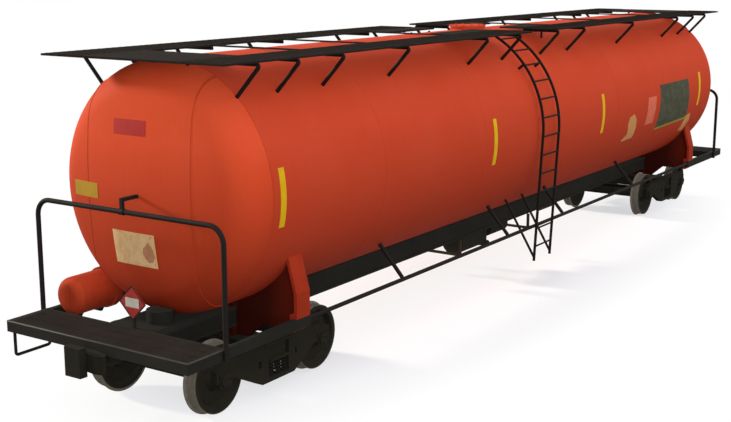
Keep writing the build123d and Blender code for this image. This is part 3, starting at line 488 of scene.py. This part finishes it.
def line_curve(name, lines):
    curve = bpy.data.curves.new(name, "CURVE")
    curve.dimensions = "3D"
    for line, closed in lines:
        spline = curve.splines.new("POLY")
        spline.points.add(len(line) - 1)
        for point, place in zip(spline.points, line):
            point.co = (*place, 1)
        spline.use_cyclic_u = closed
    return curve


print("seed helpers ready")

# %% [markdown]
# ## Smooth heads
# A head is one pressed dish without a seam at its middle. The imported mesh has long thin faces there
# that catch the light as a spot. A lathe of the same profile replaces it: rings of 96 points on the
# crown and, closer together, on the knuckle, with a flat back against the shell.

# %% Head skins
HEAD_SIDES, CROWN_RINGS, KNUCKLE_RINGS = 96, 6, 10
RIM_DEGREES = 40
first_turn = math.asin((CROWN_EDGE - KNUCKLE_MID) / KNUCKLE_R)
knuckle_turn = math.pi / 2 - first_turn
turns = [first_turn + knuckle_turn * k / KNUCKLE_RINGS for k in range(1, KNUCKLE_RINGS + 1)]
radii = [CROWN_EDGE * k / CROWN_RINGS for k in range(1, CROWN_RINGS + 1)]
radii += [KNUCKLE_MID + KNUCKLE_R * math.sin(a) for a in turns]
around = [math.tau * k / HEAD_SIDES for k in range(HEAD_SIDES)]
for end, s in ENDS:
    shape = bmesh.new()
    pole = shape.verts.new(on_head(s, 0, TANK_Z, 0))
    rings = []
    for r in radii:
        places = [on_head(s, r * math.cos(a), TANK_Z + r * math.sin(a), 0) for a in around]
        rings.append([shape.verts.new(place) for place in places])
    for i in range(HEAD_SIDES):
        j = (i + 1) % HEAD_SIDES
        shape.faces.new((pole, rings[0][i], rings[0][j]))
        for inner, outer in zip(rings, rings[1:]):
            shape.faces.new((inner[i], outer[i], outer[j], inner[j]))
    for face in shape.faces:
        face.smooth = True
    shape.faces.new(rings[-1])
    bmesh.ops.recalc_face_normals(shape, faces=shape.faces)
    mesh = bpy.data.meshes.new(f"head_skin_{end}")
    shape.to_mesh(mesh)
    shape.free()
    mesh.set_sharp_from_angle(angle=math.radians(RIM_DEGREES))
    mesh.materials.append(head_paint)
    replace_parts(set_piece(f"head_skin_{end}", mesh, "car"), f"tank_head_{end}")

# %% [markdown]
# ## Beads along lines
# A weld bead, a rubbed edge and a rail clamp are all a round section along a line. One tree sweeps
# a circle along a curve with Curve to Mesh and caps its ends. Only the line, the radius and the
# number of sides differ.

# %% Bead tree
bead_tree, given = new_tree("beads", ["Sides", "Radius"])
section = add(bead_tree, "GeometryNodeCurvePrimitiveCircle", {
    "Resolution": given["Sides"], "Radius": given["Radius"]})
swept = add(bead_tree, "GeometryNodeCurveToMesh", {
    "Curve": given["Geometry"], "Profile Curve": section.outputs[0], "Fill Caps": True})
smooth = add(bead_tree, "GeometryNodeSetShadeSmooth", {0: swept.outputs[0]})
end_tree(bead_tree, smooth.outputs[0], given["Finish"])
print("bead tree", len(bead_tree.nodes), "nodes")

# %% [markdown]
# ## Weld seams
# The shell is rolled from several courses, joined by ring welds, and each head is pressed from
# gores with welds from top to bottom. A bead is a low rounded ridge, mostly sunk in the skin. Dirt
# gathers beside it, so its paint is a little darker than the barrel's.

# %% Weld seams
# alkyd paint over a weld: the barrel's orange with a shade of trapped dirt
seam_paint = weathered_steel(
    "dirty_seam_orange", "#B43A1C", "#B83F21", "#541104", "#96311A", rough=0.7, shine=0.06,
    patch_mm=900, chips=0.78, grime_top=3.2, grime_most=0.5)
COURSES = (-SHELL_END, -5.23, -2.54, -0.05, 2.46, 4.82, SHELL_END)
SEAM_ANGLES = (-62, 118, -70, 75, -66, 140)
GORES, GORE_REACH = (-0.735, 0.89), 0.999
SEAM_R, SEAM_SINK, SEAM_STEP = 0.014, -0.011, 3
seams = []
for x in COURSES:
    seams.append(([on_shell(1, x, a, SEAM_SINK) for a in range(0, 360, SEAM_STEP)], True))
for start, stop, angle in zip(COURSES, COURSES[1:], SEAM_ANGLES):
    seams.append(([on_shell(1, x, angle, SEAM_SINK) for x in (start, stop)], False))
for y in GORES:
    half = GORE_REACH * math.sqrt(TANK_R ** 2 - y ** 2)
    heights = [TANK_Z + half * math.sin(math.radians(a)) for a in range(-90, 91, SEAM_STEP)]
    seams += [([on_head(s, y, z, SEAM_SINK) for z in heights], False) for end, s in ENDS]
grow("weld_seams", line_curve("seam_lines", seams), bead_tree,
     {"Sides": 10.0, "Radius": SEAM_R}, "tank_paint", "car", seam_paint)

# %% [markdown]
# ## Rubbed edges and rail clamps
# Boots and straps rub the paint off the upper edges of the end platforms, and bare steel shines
# through as a thin pale line. A bead of 10 mm radius along the edge gives it. A clamp holds the tie
# to the top rail of each hoop: a short thick sleeve around the rail.

# %% Edges and clamps
# rubbed steel: dull grey metal that catches the light along an edge
rubbed_steel = weathered_steel(
    "rubbed_edge_steel", "#3A3832", "#4A473E", "#33302A", "#5A554A", rough=0.6, shine=0.2,
    patch_mm=120)
EDGE_R, EDGE_SINK = 0.010, 0.005
TIE_Y, CLAMP_HALF, CLAMP_OVER = 0.042, 0.035, 0.008
edges, clamps = [], []
for end, s in ENDS:
    deck_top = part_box(f"deck_{end}")[1].z
    beam_low, beam_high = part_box(f"end_beam_{end}")
    front, back = (beam_high.x, beam_low.x) if s > 0 else (beam_low.x, beam_high.x)
    edge_y, edge_z = beam_high.y - EDGE_SINK, deck_top - EDGE_SINK
    front -= s * EDGE_SINK
    corners = ((back, -edge_y), (front, -edge_y), (front, edge_y), (back, edge_y))
    edges.append(([(x, y, edge_z) for x, y in corners], False))
    rail_low, rail_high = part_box(f"handrail_{end}")
    rail_x, rail_r = (rail_low.x + rail_high.x) / 2, (rail_high.x - rail_low.x) / 2
    tie_y, rail_z = -s * TIE_Y, rail_high.z - rail_r
    clamps.append(([(rail_x, tie_y + y, rail_z) for y in (-CLAMP_HALF, CLAMP_HALF)], False))
grow("rubbed_edges", line_curve("edge_lines", edges), bead_tree,
     {"Sides": 8.0, "Radius": EDGE_R}, "frame_black", "car", rubbed_steel)
grow("rail_clamps", line_curve("clamp_lines", clamps), bead_tree,
     {"Sides": 14.0, "Radius": rail_r + CLAMP_OVER}, "rail_black", "car")

# %% [markdown]
# ## Sheets that hug a skin
# Marker strips, blank plates, old labels and scuffs are thin sheets on a curved skin. Each has an
# outline in the skin's own two coordinates. The outline is split, shrunk towards its middle in a
# few rings, and every point is put on the skin and lifted by the sheet's thickness. A second copy
# just under the skin closes the sheet. A hole leaves the middle open, for a frame.

# %% Skin sheets
SHEET_LIFT, OVER_LIFT, SHEET_SINK = 0.004, 0.006, 0.002
MERGE_WITHIN = 1e-6


def skin_sheet(name, place, outline, finish, split=4, rings=4, lift=SHEET_LIFT,
               sink=SHEET_SINK, hole=0.0):
    edge = []
    for (u, v), (to_u, to_v) in zip(outline, outline[1:] + outline[:1]):
        for k in range(split):
            edge.append((u + (to_u - u) * k / split, v + (to_v - v) * k / split))
    mid_u = sum(u for u, v in edge) / len(edge)
    mid_v = sum(v for u, v in edge) / len(edge)
    grid = []
    for k in range(rings + 1):
        share = hole + (1 - hole) * k / rings
        grid.append([(mid_u + (u - mid_u) * share, mid_v + (v - mid_v) * share) for u, v in edge])
    shape = bmesh.new()
    top = [[shape.verts.new(place(u, v, lift)) for u, v in ring] for ring in grid]
    under = [[shape.verts.new(place(u, v, -sink)) for u, v in ring] for ring in grid]
    for i in range(len(edge)):
        j = (i + 1) % len(edge)
        for inner, outer in zip(top, top[1:]):
            shape.faces.new((inner[i], outer[i], outer[j], inner[j]))
        for inner, outer in zip(under, under[1:]):
            shape.faces.new((inner[j], outer[j], outer[i], inner[i]))
        shape.faces.new((top[-1][i], under[-1][i], under[-1][j], top[-1][j]))
        shape.faces.new((top[0][j], under[0][j], under[0][i], top[0][i]))
    bmesh.ops.remove_doubles(shape, verts=shape.verts, dist=MERGE_WITHIN)
    bmesh.ops.recalc_face_normals(shape, faces=shape.faces)
    mesh = bpy.data.meshes.new(name)
    shape.to_mesh(mesh)
    shape.free()
    mesh.materials.append(finish)
    return set_piece(name, mesh, "car")


def box_outline(u_ends, v_ends):
    (u0, u1), (v0, v1) = u_ends, v_ends
    return [(u0, v0), (u1, v0), (u1, v1), (u0, v1)]


print("sheet helper ready")

# %% [markdown]
# ## Finishes of the sheets on the shell
# Tape is a film, the panel is painted sheet, and the labels and stickers are vinyl and paper that
# the weather has bleached and worn. They take the same recipe with smaller patches.

# %% Sheet finishes
# reflecting tape: flat yellow film with dirt in its face
tape_yellow = weathered_steel(
    "reflecting_tape_yellow", "#D2AE0C", "#CCA010", "#9A701C", "#B8762A", rough=0.6, shine=0.12,
    patch_mm=120, chips=0.72)
# painted sheet: a dull grey-green with cloudy rain marks
panel_green = weathered_steel(
    "panel_grey_green", "#3C3D2F", "#565742", "#2A2B21", "#312E26", rough=0.75, shine=0.1,
    patch_mm=120, chips=0.6, streaks=0.4)
# lemon edge paint: the strip that shows below the panel's sheet
panel_edge = weathered_steel(
    "panel_edge_lemon", "#8A7F2C", "#968A34", "#6A5A20", "#7A4A28", rough=0.7, patch_mm=90)
# faded vinyl: pink where the red has bleached, with the barrel's orange through it
faded_vinyl = weathered_steel(
    "bleached_red_vinyl", "#C85C46", "#D4705A", "#BC4C36", "#B4401F", rough=0.75, patch_mm=140,
    chips=0.62)
# worn sticker: dry tan paper glued to the paint
worn_sticker = weathered_steel(
    "worn_paper_tan", "#C9975F", "#BE8450", "#A4603A", "#B4502E", rough=0.85, patch_mm=110,
    chips=0.62, grime_top=3.0, grime_most=0.3)
print("sheet finishes", tape_yellow.name, panel_green.name, faded_vinyl.name, worn_sticker.name)

# %% [markdown]
# ## Marker strips, panel and scuffs on the shell
# Yellow strips of reflecting tape stand at four places on each side. Near the far end the photo
# shows a grey-green panel with a yellow lower edge, a faded pink label and two scuffs where old
# cream stickers have half worn off. The panel and the labels are plain. A place is metres along the
# car and degrees up from the middle of the side.

# %% Sheets on the shell
STRIPS_X, STRIP_HALF, STRIP_ANGLES = (-7.38, -2.245, 1.80, 6.90), 0.05, (-13, 13)
PANEL = [(4.59, 10), (6.20, 10), (6.40, -22), (4.66, -24)]
PANEL_EDGE = [(4.655, -22.6), (6.385, -20.6), (6.40, -22.2), (4.66, -24.2)]
PINK_LABEL = box_outline((3.96, 4.38), (-17, 3))
SCUFF_TALL = [
    (3.275, -6.1), (3.447, -10.7), (3.511, -16.7), (3.518, -24), (3.457, -24.8), (3.016, -25.5),
    (3.006, -23.9), (3.198, -22.4), (3.058, -12.7), (3.086, -8)]
SCUFF_LOW = [
    (6.611, -18.6), (6.742, -25.1), (6.699, -34.7), (6.4, -34), (6.393, -29), (6.399, -23.6),
    (6.347, -20.4)]
for side, turn in SIDES:
    skin = functools.partial(on_shell, turn)
    for n, x in enumerate(STRIPS_X):
        strip = box_outline((x - STRIP_HALF, x + STRIP_HALF), STRIP_ANGLES)
        skin_sheet(f"marker_strip_{n}_{side}", skin, strip, tape_yellow, split=8)
    skin_sheet(f"data_panel_{side}", skin, PANEL, panel_green, split=6)
    skin_sheet(f"panel_edge_{side}", skin, PANEL_EDGE, panel_edge, split=6,
               lift=OVER_LIFT)
    skin_sheet(f"pink_label_{side}", skin, PINK_LABEL, faded_vinyl)
    skin_sheet(f"scuff_tall_{side}", skin, SCUFF_TALL, worn_sticker, split=2)
    skin_sheet(f"scuff_low_{side}", skin, SCUFF_LOW, worn_sticker, split=2)

# %% [markdown]
# ## Blank plates on the heads
# Each head carries a red plate near the top, a yellow one at the left and a weathered cream label
# below. All of them are plain. The far head's set is the near one turned half round. A place is
# metres across from the middle and metres above the floor.

# %% Sheets on the heads
# enamel plate: deeper red than the barrel, with a dry face
plate_red = weathered_steel(
    "enamel_plate_red", "#A0201C", "#A82A24", "#601812", "#6A241C", rough=0.6, patch_mm=150)
# enamel plate: ochre yellow gone dull
plate_yellow = weathered_steel(
    "enamel_plate_ochre", "#B08A1E", "#A68024", "#74581C", "#8A5A28", rough=0.6, patch_mm=150)
# paper label: cream, stained and flaking
paper_label = weathered_steel(
    "flaking_paper_cream", "#D8B888", "#C9A070", "#AC7A52", "#B0704E", rough=0.9, patch_mm=110,
    chips=0.6, grime_top=3.0, grime_most=0.25)
# bare paste: the brown patch where the paper has come off
bare_paste = weathered_steel(
    "bare_paste_brown", "#AC7C5C", "#A47050", "#8A5A40", "#B07A58", rough=0.9, patch_mm=60)
CREAM = [(-0.195, 1.73), (0.47, 1.73), (0.495, 2.13), (-0.175, 2.13)]
STAIN = [
    (-0.01, 1.84), (0.02, 1.90), (0.005, 1.96), (-0.035, 1.99), (-0.075, 2.035), (-0.115, 2.0),
    (-0.15, 1.95), (-0.165, 1.87), (-0.13, 1.80), (-0.06, 1.79)]
HEAD_PLATES = (
    ("red", box_outline((-0.08, 0.42), (3.27, 3.446)), plate_red, SHEET_LIFT),
    ("yellow", box_outline((0.72, 1.15), (2.468, 2.65)), plate_yellow, SHEET_LIFT),
    ("cream", CREAM, paper_label, SHEET_LIFT),
    ("stain", STAIN, bare_paste, OVER_LIFT),
)
for end, s in ENDS:
    skin = functools.partial(on_head, s)
    for name, outline, finish, lift in HEAD_PLATES:
        skin_sheet(f"head_plate_{name}_{end}", skin, outline, finish, lift=lift)

# %% [markdown]
# ## Sign plates
# The diamond sign on each platform has a dark border and a plain pale label in its middle. The same
# helper makes both. Its skin is the flat face of the sign.

# %% Border and label of the signs
# matt white vinyl: the brightest patch at this end, slightly grey with dirt
label_white = weathered_steel(
    "matt_white_vinyl", "#B8B4A8", "#A8A498", "#80766A", "#8A7264", rough=0.8, patch_mm=60,
    chips=0.66)
sign_low, sign_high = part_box("placards")
sign_half = (sign_high.z - sign_low.z) / 2
sign_z = (sign_high.z + sign_low.z) / 2
sign_y = (sign_high.y - sign_low.y) / 2 - sign_half
SIGN_RIM = [(0, -sign_half), (sign_half, 0), (0, sign_half), (-sign_half, 0)]
SIGN_LABEL = box_outline((-0.105, 0.105), (-0.055, 0.055))
SIGN_LIFT, RIM_HOLE = 0.002, 0.9


def on_sign(s, y, z, off):
    """A place off the face of an end's sign, across and up from the sign's middle."""
    return Vector((s * (sign_high.x + off), s * sign_y + y, sign_z + z))


for end, s in ENDS:
    skin = functools.partial(on_sign, s)
    skin_sheet(f"sign_border_{end}", skin, SIGN_RIM, finishes["frame_black"],
               rings=1, lift=SIGN_LIFT, sink=0, hole=RIM_HOLE)
    skin_sheet(f"sign_label_{end}", skin, SIGN_LABEL, label_white,
               lift=SIGN_LIFT, sink=0)

# %% [markdown]
# ## Bolt heads
# Bolts hold the decks, the lid, the outlet's flange and the axle caps. One tree puts a short prism
# with a washer on every point and turns it to the point's stored aim.

# %% Bolt tree
WASHER_SIDES, WASHER_T = 12, 0.006
bolt_tree, given = new_tree("bolt_heads", ["Sides", "Radius", "Height", "Washer"])
head = add(bolt_tree, "GeometryNodeMeshCylinder", {
    "Vertices": given["Sides"], "Radius": given["Radius"], "Depth": given["Height"]})
half_up = add(bolt_tree, "ShaderNodeMath", {0: given["Height"], 1: 0.5}, operation="MULTIPLY")
rise = add(bolt_tree, "ShaderNodeCombineXYZ", {"Z": half_up.outputs[0]})
raised = add(bolt_tree, "GeometryNodeTransform", {
    0: head.outputs[0], "Translation": rise.outputs[0]})
washer = add(bolt_tree, "GeometryNodeMeshCylinder", {
    "Vertices": WASHER_SIDES, "Radius": given["Washer"], "Depth": WASHER_T})
both = add(bolt_tree, "GeometryNodeJoinGeometry")
bolt_tree.links.new(raised.outputs[0], both.inputs[0])
bolt_tree.links.new(washer.outputs[0], both.inputs[0])
stored = add(bolt_tree, "GeometryNodeInputNamedAttribute", {"Name": "aim"},
             data_type="FLOAT_VECTOR")
turned = add(bolt_tree, "FunctionNodeAlignRotationToVector", {"Vector": stored.outputs[0]},
             axis="Z")
placed = add(bolt_tree, "GeometryNodeInstanceOnPoints", {
    "Points": given["Geometry"], "Instance": both.outputs[0], "Rotation": turned.outputs[0]})
end_tree(bolt_tree, placed.outputs[0], given["Finish"])
print("bolt tree", len(bolt_tree.nodes), "nodes")

# %% [markdown]
# ## Bolts of the decks, the lid and the outlet
# Deck planks have a pair of flat bolts at each bearer, in the deck's own colour. The lid has a ring
# of hexagon bolts that are painted with it, and the outlet's flange has a black ring. The lid's
# bolts ride on the lid. Its box ends at the hinge knuckle, which stands above the lid's plate.

# %% Deck, lid and outlet bolts
UP = (0, 0, 1)
DECK_PLANKS, BEARERS_Y, PAIR_X = 3, (-1.28, 0, 1.28), (-0.06, 0.06)
RING_BOLTS, LID_SHARE, OUTLET_SHARE = 12, 0.86, 0.85
KNUCKLE_OVER, OUTLET_FLANGE_T = 0.008, 0.036


def bolt_set(name, places, aims, slot, body, radius=0.016, height=0.014, washer=0.026):
    sizes = {"Sides": 6.0, "Radius": radius, "Height": height, "Washer": washer}
    return grow(name, points(name + "_points", places, aims), bolt_tree, sizes, slot, body)


deck_places = []
for end, s in ENDS:
    low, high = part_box(f"deck_{end}")
    plank = (high.x - low.x) / DECK_PLANKS
    for k in range(DECK_PLANKS):
        plank_x = low.x + (k + 0.5) * plank
        deck_places += [(plank_x + dx, y, high.z) for y in BEARERS_Y for dx in PAIR_X]
bolt_set("deck_bolts", deck_places, [UP] * len(deck_places), "walk_plate", "car",
         radius=0.010, height=0.004, washer=0.014)

RING = [math.tau * (k + 0.5) / RING_BOLTS for k in range(RING_BOLTS)]
low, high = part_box("manway_lid")
lid_r, lid_z = (high.y - low.y) / 2, high.z - KNUCKLE_OVER
lid_x, bolt_r = low.x + lid_r, LID_SHARE * lid_r
lid_ring = [(lid_x + bolt_r * math.cos(a), bolt_r * math.sin(a), lid_z) for a in RING]
bolt_set("lid_bolts", lid_ring, [UP] * RING_BOLTS, "tank_paint", "lid", height=0.012)

low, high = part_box("bottom_outlet")
out_x, bolt_r = (low.x + high.x) / 2, OUTLET_SHARE * (high.y - low.y) / 2
out_z = low.z + OUTLET_FLANGE_T
out_ring = [(out_x + bolt_r * math.cos(a), bolt_r * math.sin(a), out_z) for a in RING]
bolt_set("outlet_bolts", out_ring, [UP] * RING_BOLTS, "frame_black", "car",
         radius=0.012, washer=0.018)

# %% [markdown]
# ## Bolts of the axle caps
# Three bolts hold the cap on each end of an axle. The caps turn with their wheelsets, so these
# bolts ride on the wheelset.

# %% Axle cap bolts
CAP_BOLT_R, CAP_BOLTS = 0.052, 3
CAP_RING = RING[::RING_BOLTS // CAP_BOLTS]
for end, s in ENDS:
    for place in ("outer", "inner"):
        low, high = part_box(f"axle_{end}_{place}")
        x, z = (low.x + high.x) / 2, (low.z + high.z) / 2
        caps, aims = [], []
        for y, t in ((low.y, -1), (high.y, 1)):
            for a in CAP_RING:
                caps.append((x + CAP_BOLT_R * math.cos(a), y, z + CAP_BOLT_R * math.sin(a)))
            aims += [(0, t, 0)] * CAP_BOLTS
        bolt_set(f"cap_bolts_{end}_{place}", caps, aims, "wheel_steel", f"wheelset_{end}_{place}")

# %% [markdown]
# ## Coil springs
# The solids have plain cylinders for the springs. On the real bogie they are coils of round bar. A
# Spiral curve with a circle swept along it makes one coil, and the tree puts it on each seat. The
# coils replace the cylinders.

# %% Coil springs
coil_tree, given = new_tree("coil_springs", ["Turns", "Coil radius", "Wire radius", "Height"])
spiral = add(coil_tree, "GeometryNodeCurveSpiral", {
    "Resolution": 18, "Rotations": given["Turns"], "Start Radius": given["Coil radius"],
    "End Radius": given["Coil radius"], "Height": given["Height"]})
wire = add(coil_tree, "GeometryNodeCurvePrimitiveCircle", {
    "Resolution": 8, "Radius": given["Wire radius"]})
coil = add(coil_tree, "GeometryNodeCurveToMesh", {
    "Curve": spiral.outputs[0], "Profile Curve": wire.outputs[0], "Fill Caps": True})
rounded = add(coil_tree, "GeometryNodeSetShadeSmooth", {0: coil.outputs[0]})
seated = add(coil_tree, "GeometryNodeInstanceOnPoints", {
    "Points": given["Geometry"], "Instance": rounded.outputs[0]})
end_tree(coil_tree, seated.outputs[0], given["Finish"])
SPRING_R, WIRE_R, SPRING_TURNS = 0.058, 0.016, 4.5
for end, s in ENDS:
    low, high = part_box(f"springs_{end}")
    seats_x = (low.x + SPRING_R, (low.x + high.x) / 2, high.x - SPRING_R)
    seats_y = (low.y + SPRING_R, high.y - SPRING_R)
    seats = [(x, y, low.z + WIRE_R) for x in seats_x for y in seats_y]
    sizes = {"Turns": SPRING_TURNS, "Coil radius": SPRING_R - WIRE_R, "Wire radius": WIRE_R,
             "Height": high.z - low.z - 2 * WIRE_R}
    coils = grow(f"coil_springs_{end}", points(f"spring_seats_{end}", seats), coil_tree, sizes,
                 "spring_steel", f"bogie_{end}")
    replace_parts(coils, f"springs_{end}")

# %% [markdown]
# ## Grip bars on the walkways
# A roof walkway has a grip surface, or no one could walk on it in the rain. Flat bars lie across
# each plank at an even pitch. A straight curve from one end of a plank to the other is turned to
# points by length, and a bar goes on each point. The pitch is 120 mm, so that the bars show.

# %% Grip bars
grip_tree, given = new_tree("grip_bars", ["Pitch", "Bar length", "Bar width", "Bar height"])
bar_size = add(grip_tree, "ShaderNodeCombineXYZ", {
    "X": given["Bar width"], "Y": given["Bar length"], "Z": given["Bar height"]})
bar = add(grip_tree, "GeometryNodeMeshCube", {"Size": bar_size.outputs[0]})
stations = add(grip_tree, "GeometryNodeCurveToPoints", {
    "Curve": given["Geometry"], "Length": given["Pitch"]}, mode="LENGTH")
laid = add(grip_tree, "GeometryNodeInstanceOnPoints", {
    "Points": stations.outputs[0], "Instance": bar.outputs[0]})
end_tree(grip_tree, laid.outputs[0], given["Finish"])
GRIP_PITCH, BAR_WIDTH, BAR_HEIGHT, BAR_LIFT, BAR_INSET = 0.12, 0.03, 0.008, 0.001, 0.08
NEAR_INSET, NEAR_STOP, FAR_START, FAR_INSET = 0.05, -0.934, 0.10, 0.04
plank_low, plank_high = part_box("walkway_right")
plank_mid, plank_wide = (plank_low.y + plank_high.y) / 2, plank_high.y - plank_low.y
bar_z = plank_high.z + BAR_LIFT
grip_ends = ((-plank_high.x + NEAR_INSET, NEAR_STOP), (FAR_START, plank_high.x - FAR_INSET))
runs = [([(x, t * plank_mid, bar_z) for x in ends], False) for t in (1, -1) for ends in grip_ends]
sizes = {"Pitch": GRIP_PITCH, "Bar length": plank_wide - BAR_INSET, "Bar width": BAR_WIDTH,
         "Bar height": BAR_HEIGHT}
grow("grip_bars", line_curve("plank_lines", runs), grip_tree, sizes, "walk_plate", "car")

# %% [markdown]
# ## The floor
# The floor is pale and fades to white away from the car, so the picture has the photo's white
# background and keeps the shadow under the car. To the camera it is nearly white. To the light that
# it throws back at the car it is a mid grey, like the ground outdoors, so the belly stays dark.

# %% Floor
FLOOR_HALF, FLOOR_Z = 120, -0.002
FADE_LONG, FADE_WIDE = 11, 3
GROUND_GREY, PALE = (0.35, 0.34, 0.33, 1), (0.95, 0.95, 0.95, 1)
WHITE = (1, 1, 1, 1)
floor_corners = ((-1, -1), (1, -1), (1, 1), (-1, 1))
floor_mesh = bpy.data.meshes.new("floor")
floor_mesh.from_pydata(
    [(x * FLOOR_HALF, y * FLOOR_HALF, FLOOR_Z) for x, y in floor_corners], [], [(0, 1, 2, 3)])
floor = bpy.data.objects.new("floor", floor_mesh)
bpy.context.scene.collection.objects.link(floor)
floor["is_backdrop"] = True
floor_paper, tree = empty_material("pale_floor")
rays = add(tree, "ShaderNodeLightPath")
ground = add(tree, "ShaderNodeTexCoord")
spot = add(tree, "ShaderNodeMapping", {
    "Vector": ground.outputs["Object"], "Scale": (1 / FADE_LONG, 1 / FADE_WIDE, 0)})
away = add(tree, "ShaderNodeVectorMath", {0: spot.outputs[0]}, operation="LENGTH")
fade = add(tree, "ShaderNodeMapRange", {0: away.outputs["Value"], 1: 0.3, 2: 1.0, 3: 0.0, 4: 1.0})
seen = add(tree, "ShaderNodeMath", {0: fade.outputs[0], 1: rays.outputs["Is Camera Ray"]},
           operation="MULTIPLY")
tone = add(tree, "ShaderNodeMixRGB", {0: rays.outputs["Is Camera Ray"], 1: GROUND_GREY, 2: PALE})
matt = add(tree, "ShaderNodeBsdfDiffuse", {"Color": tone.outputs[0]})
white = add(tree, "ShaderNodeEmission", {"Color": WHITE, "Strength": 1.0})
blend = add(tree, "ShaderNodeMixShader", {
    0: seen.outputs[0], 1: matt.outputs[0], 2: white.outputs[0]})
add(tree, "ShaderNodeOutputMaterial", {"Surface": blend.outputs[0]})
floor_mesh.materials.append(floor_paper)
print("floor", 2 * FLOOR_HALF, "m wide")

# %% [markdown]
# ## World and lamps
# The world is white to the camera and to reflections, and a softer grey to everything else. Three
# suns do the rest. The key stands low on the left and gives the bright left rim of the head. A wide
# fill from the right front lights the long side. A wide one from above casts no shadow, like the
# glow of an overcast sky, so the skin under the roof walkway isn't black. Together they light the
# right side at about 1, so a colour renders much as it is written, and the left side more.

# %% Light
SOFT_WORLD = 0.36
world = bpy.data.worlds.new("studio")
bpy.context.scene.world = world
world.use_nodes = True
tree = world.node_tree
tree.nodes.clear()
rays = add(tree, "ShaderNodeLightPath")
glossy = add(tree, "ShaderNodeMath", {
    0: rays.outputs["Is Camera Ray"], 1: rays.outputs["Is Glossy Ray"]}, operation="MAXIMUM")
shown = add(tree, "ShaderNodeMath", {
    0: glossy.outputs[0], 1: rays.outputs["Is Transmission Ray"]}, operation="MAXIMUM")
soft = add(tree, "ShaderNodeBackground", {"Color": WHITE, "Strength": SOFT_WORLD})
bright = add(tree, "ShaderNodeBackground", {"Color": WHITE, "Strength": 1.0})
chosen = add(tree, "ShaderNodeMixShader", {
    0: shown.outputs[0], 1: soft.outputs[0], 2: bright.outputs[0]})
add(tree, "ShaderNodeOutputWorld", {"Surface": chosen.outputs[0]})
# each sun: its strength, its spread in degrees, whether it casts shadows, its tint and its side
SUNS = (
    ("key_sun", 3.6, 6, True, "#FFF7E6", (-0.2, 0.92, 0.3)),
    ("fill_sun", 1.35, 40, True, "#FFFFFF", (-0.6, -0.8, 0.12)),
    ("sky_sun", 2.0, 60, False, "#F2F5FF", (-0.2, -0.5, 0.85)),
)
for name, energy, spread, shadow, tint, side in SUNS:
    lamp = bpy.data.lights.new(name, "SUN")
    lamp.color = hex_colour(tint)[:3]
    lamp.energy = energy
    lamp.angle = math.radians(spread)
    lamp.use_shadow = shadow
    sun = bpy.data.objects.new(name, lamp)
    sun.rotation_euler = Vector(side).to_track_quat("Z", "Y").to_euler()
    bpy.context.scene.collection.objects.link(sun)
bpy.context.scene.view_settings.view_transform = "Standard"

# %% Finish
low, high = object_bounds()
print("visual box", [round(v, 3) for v in (*low, *high)])
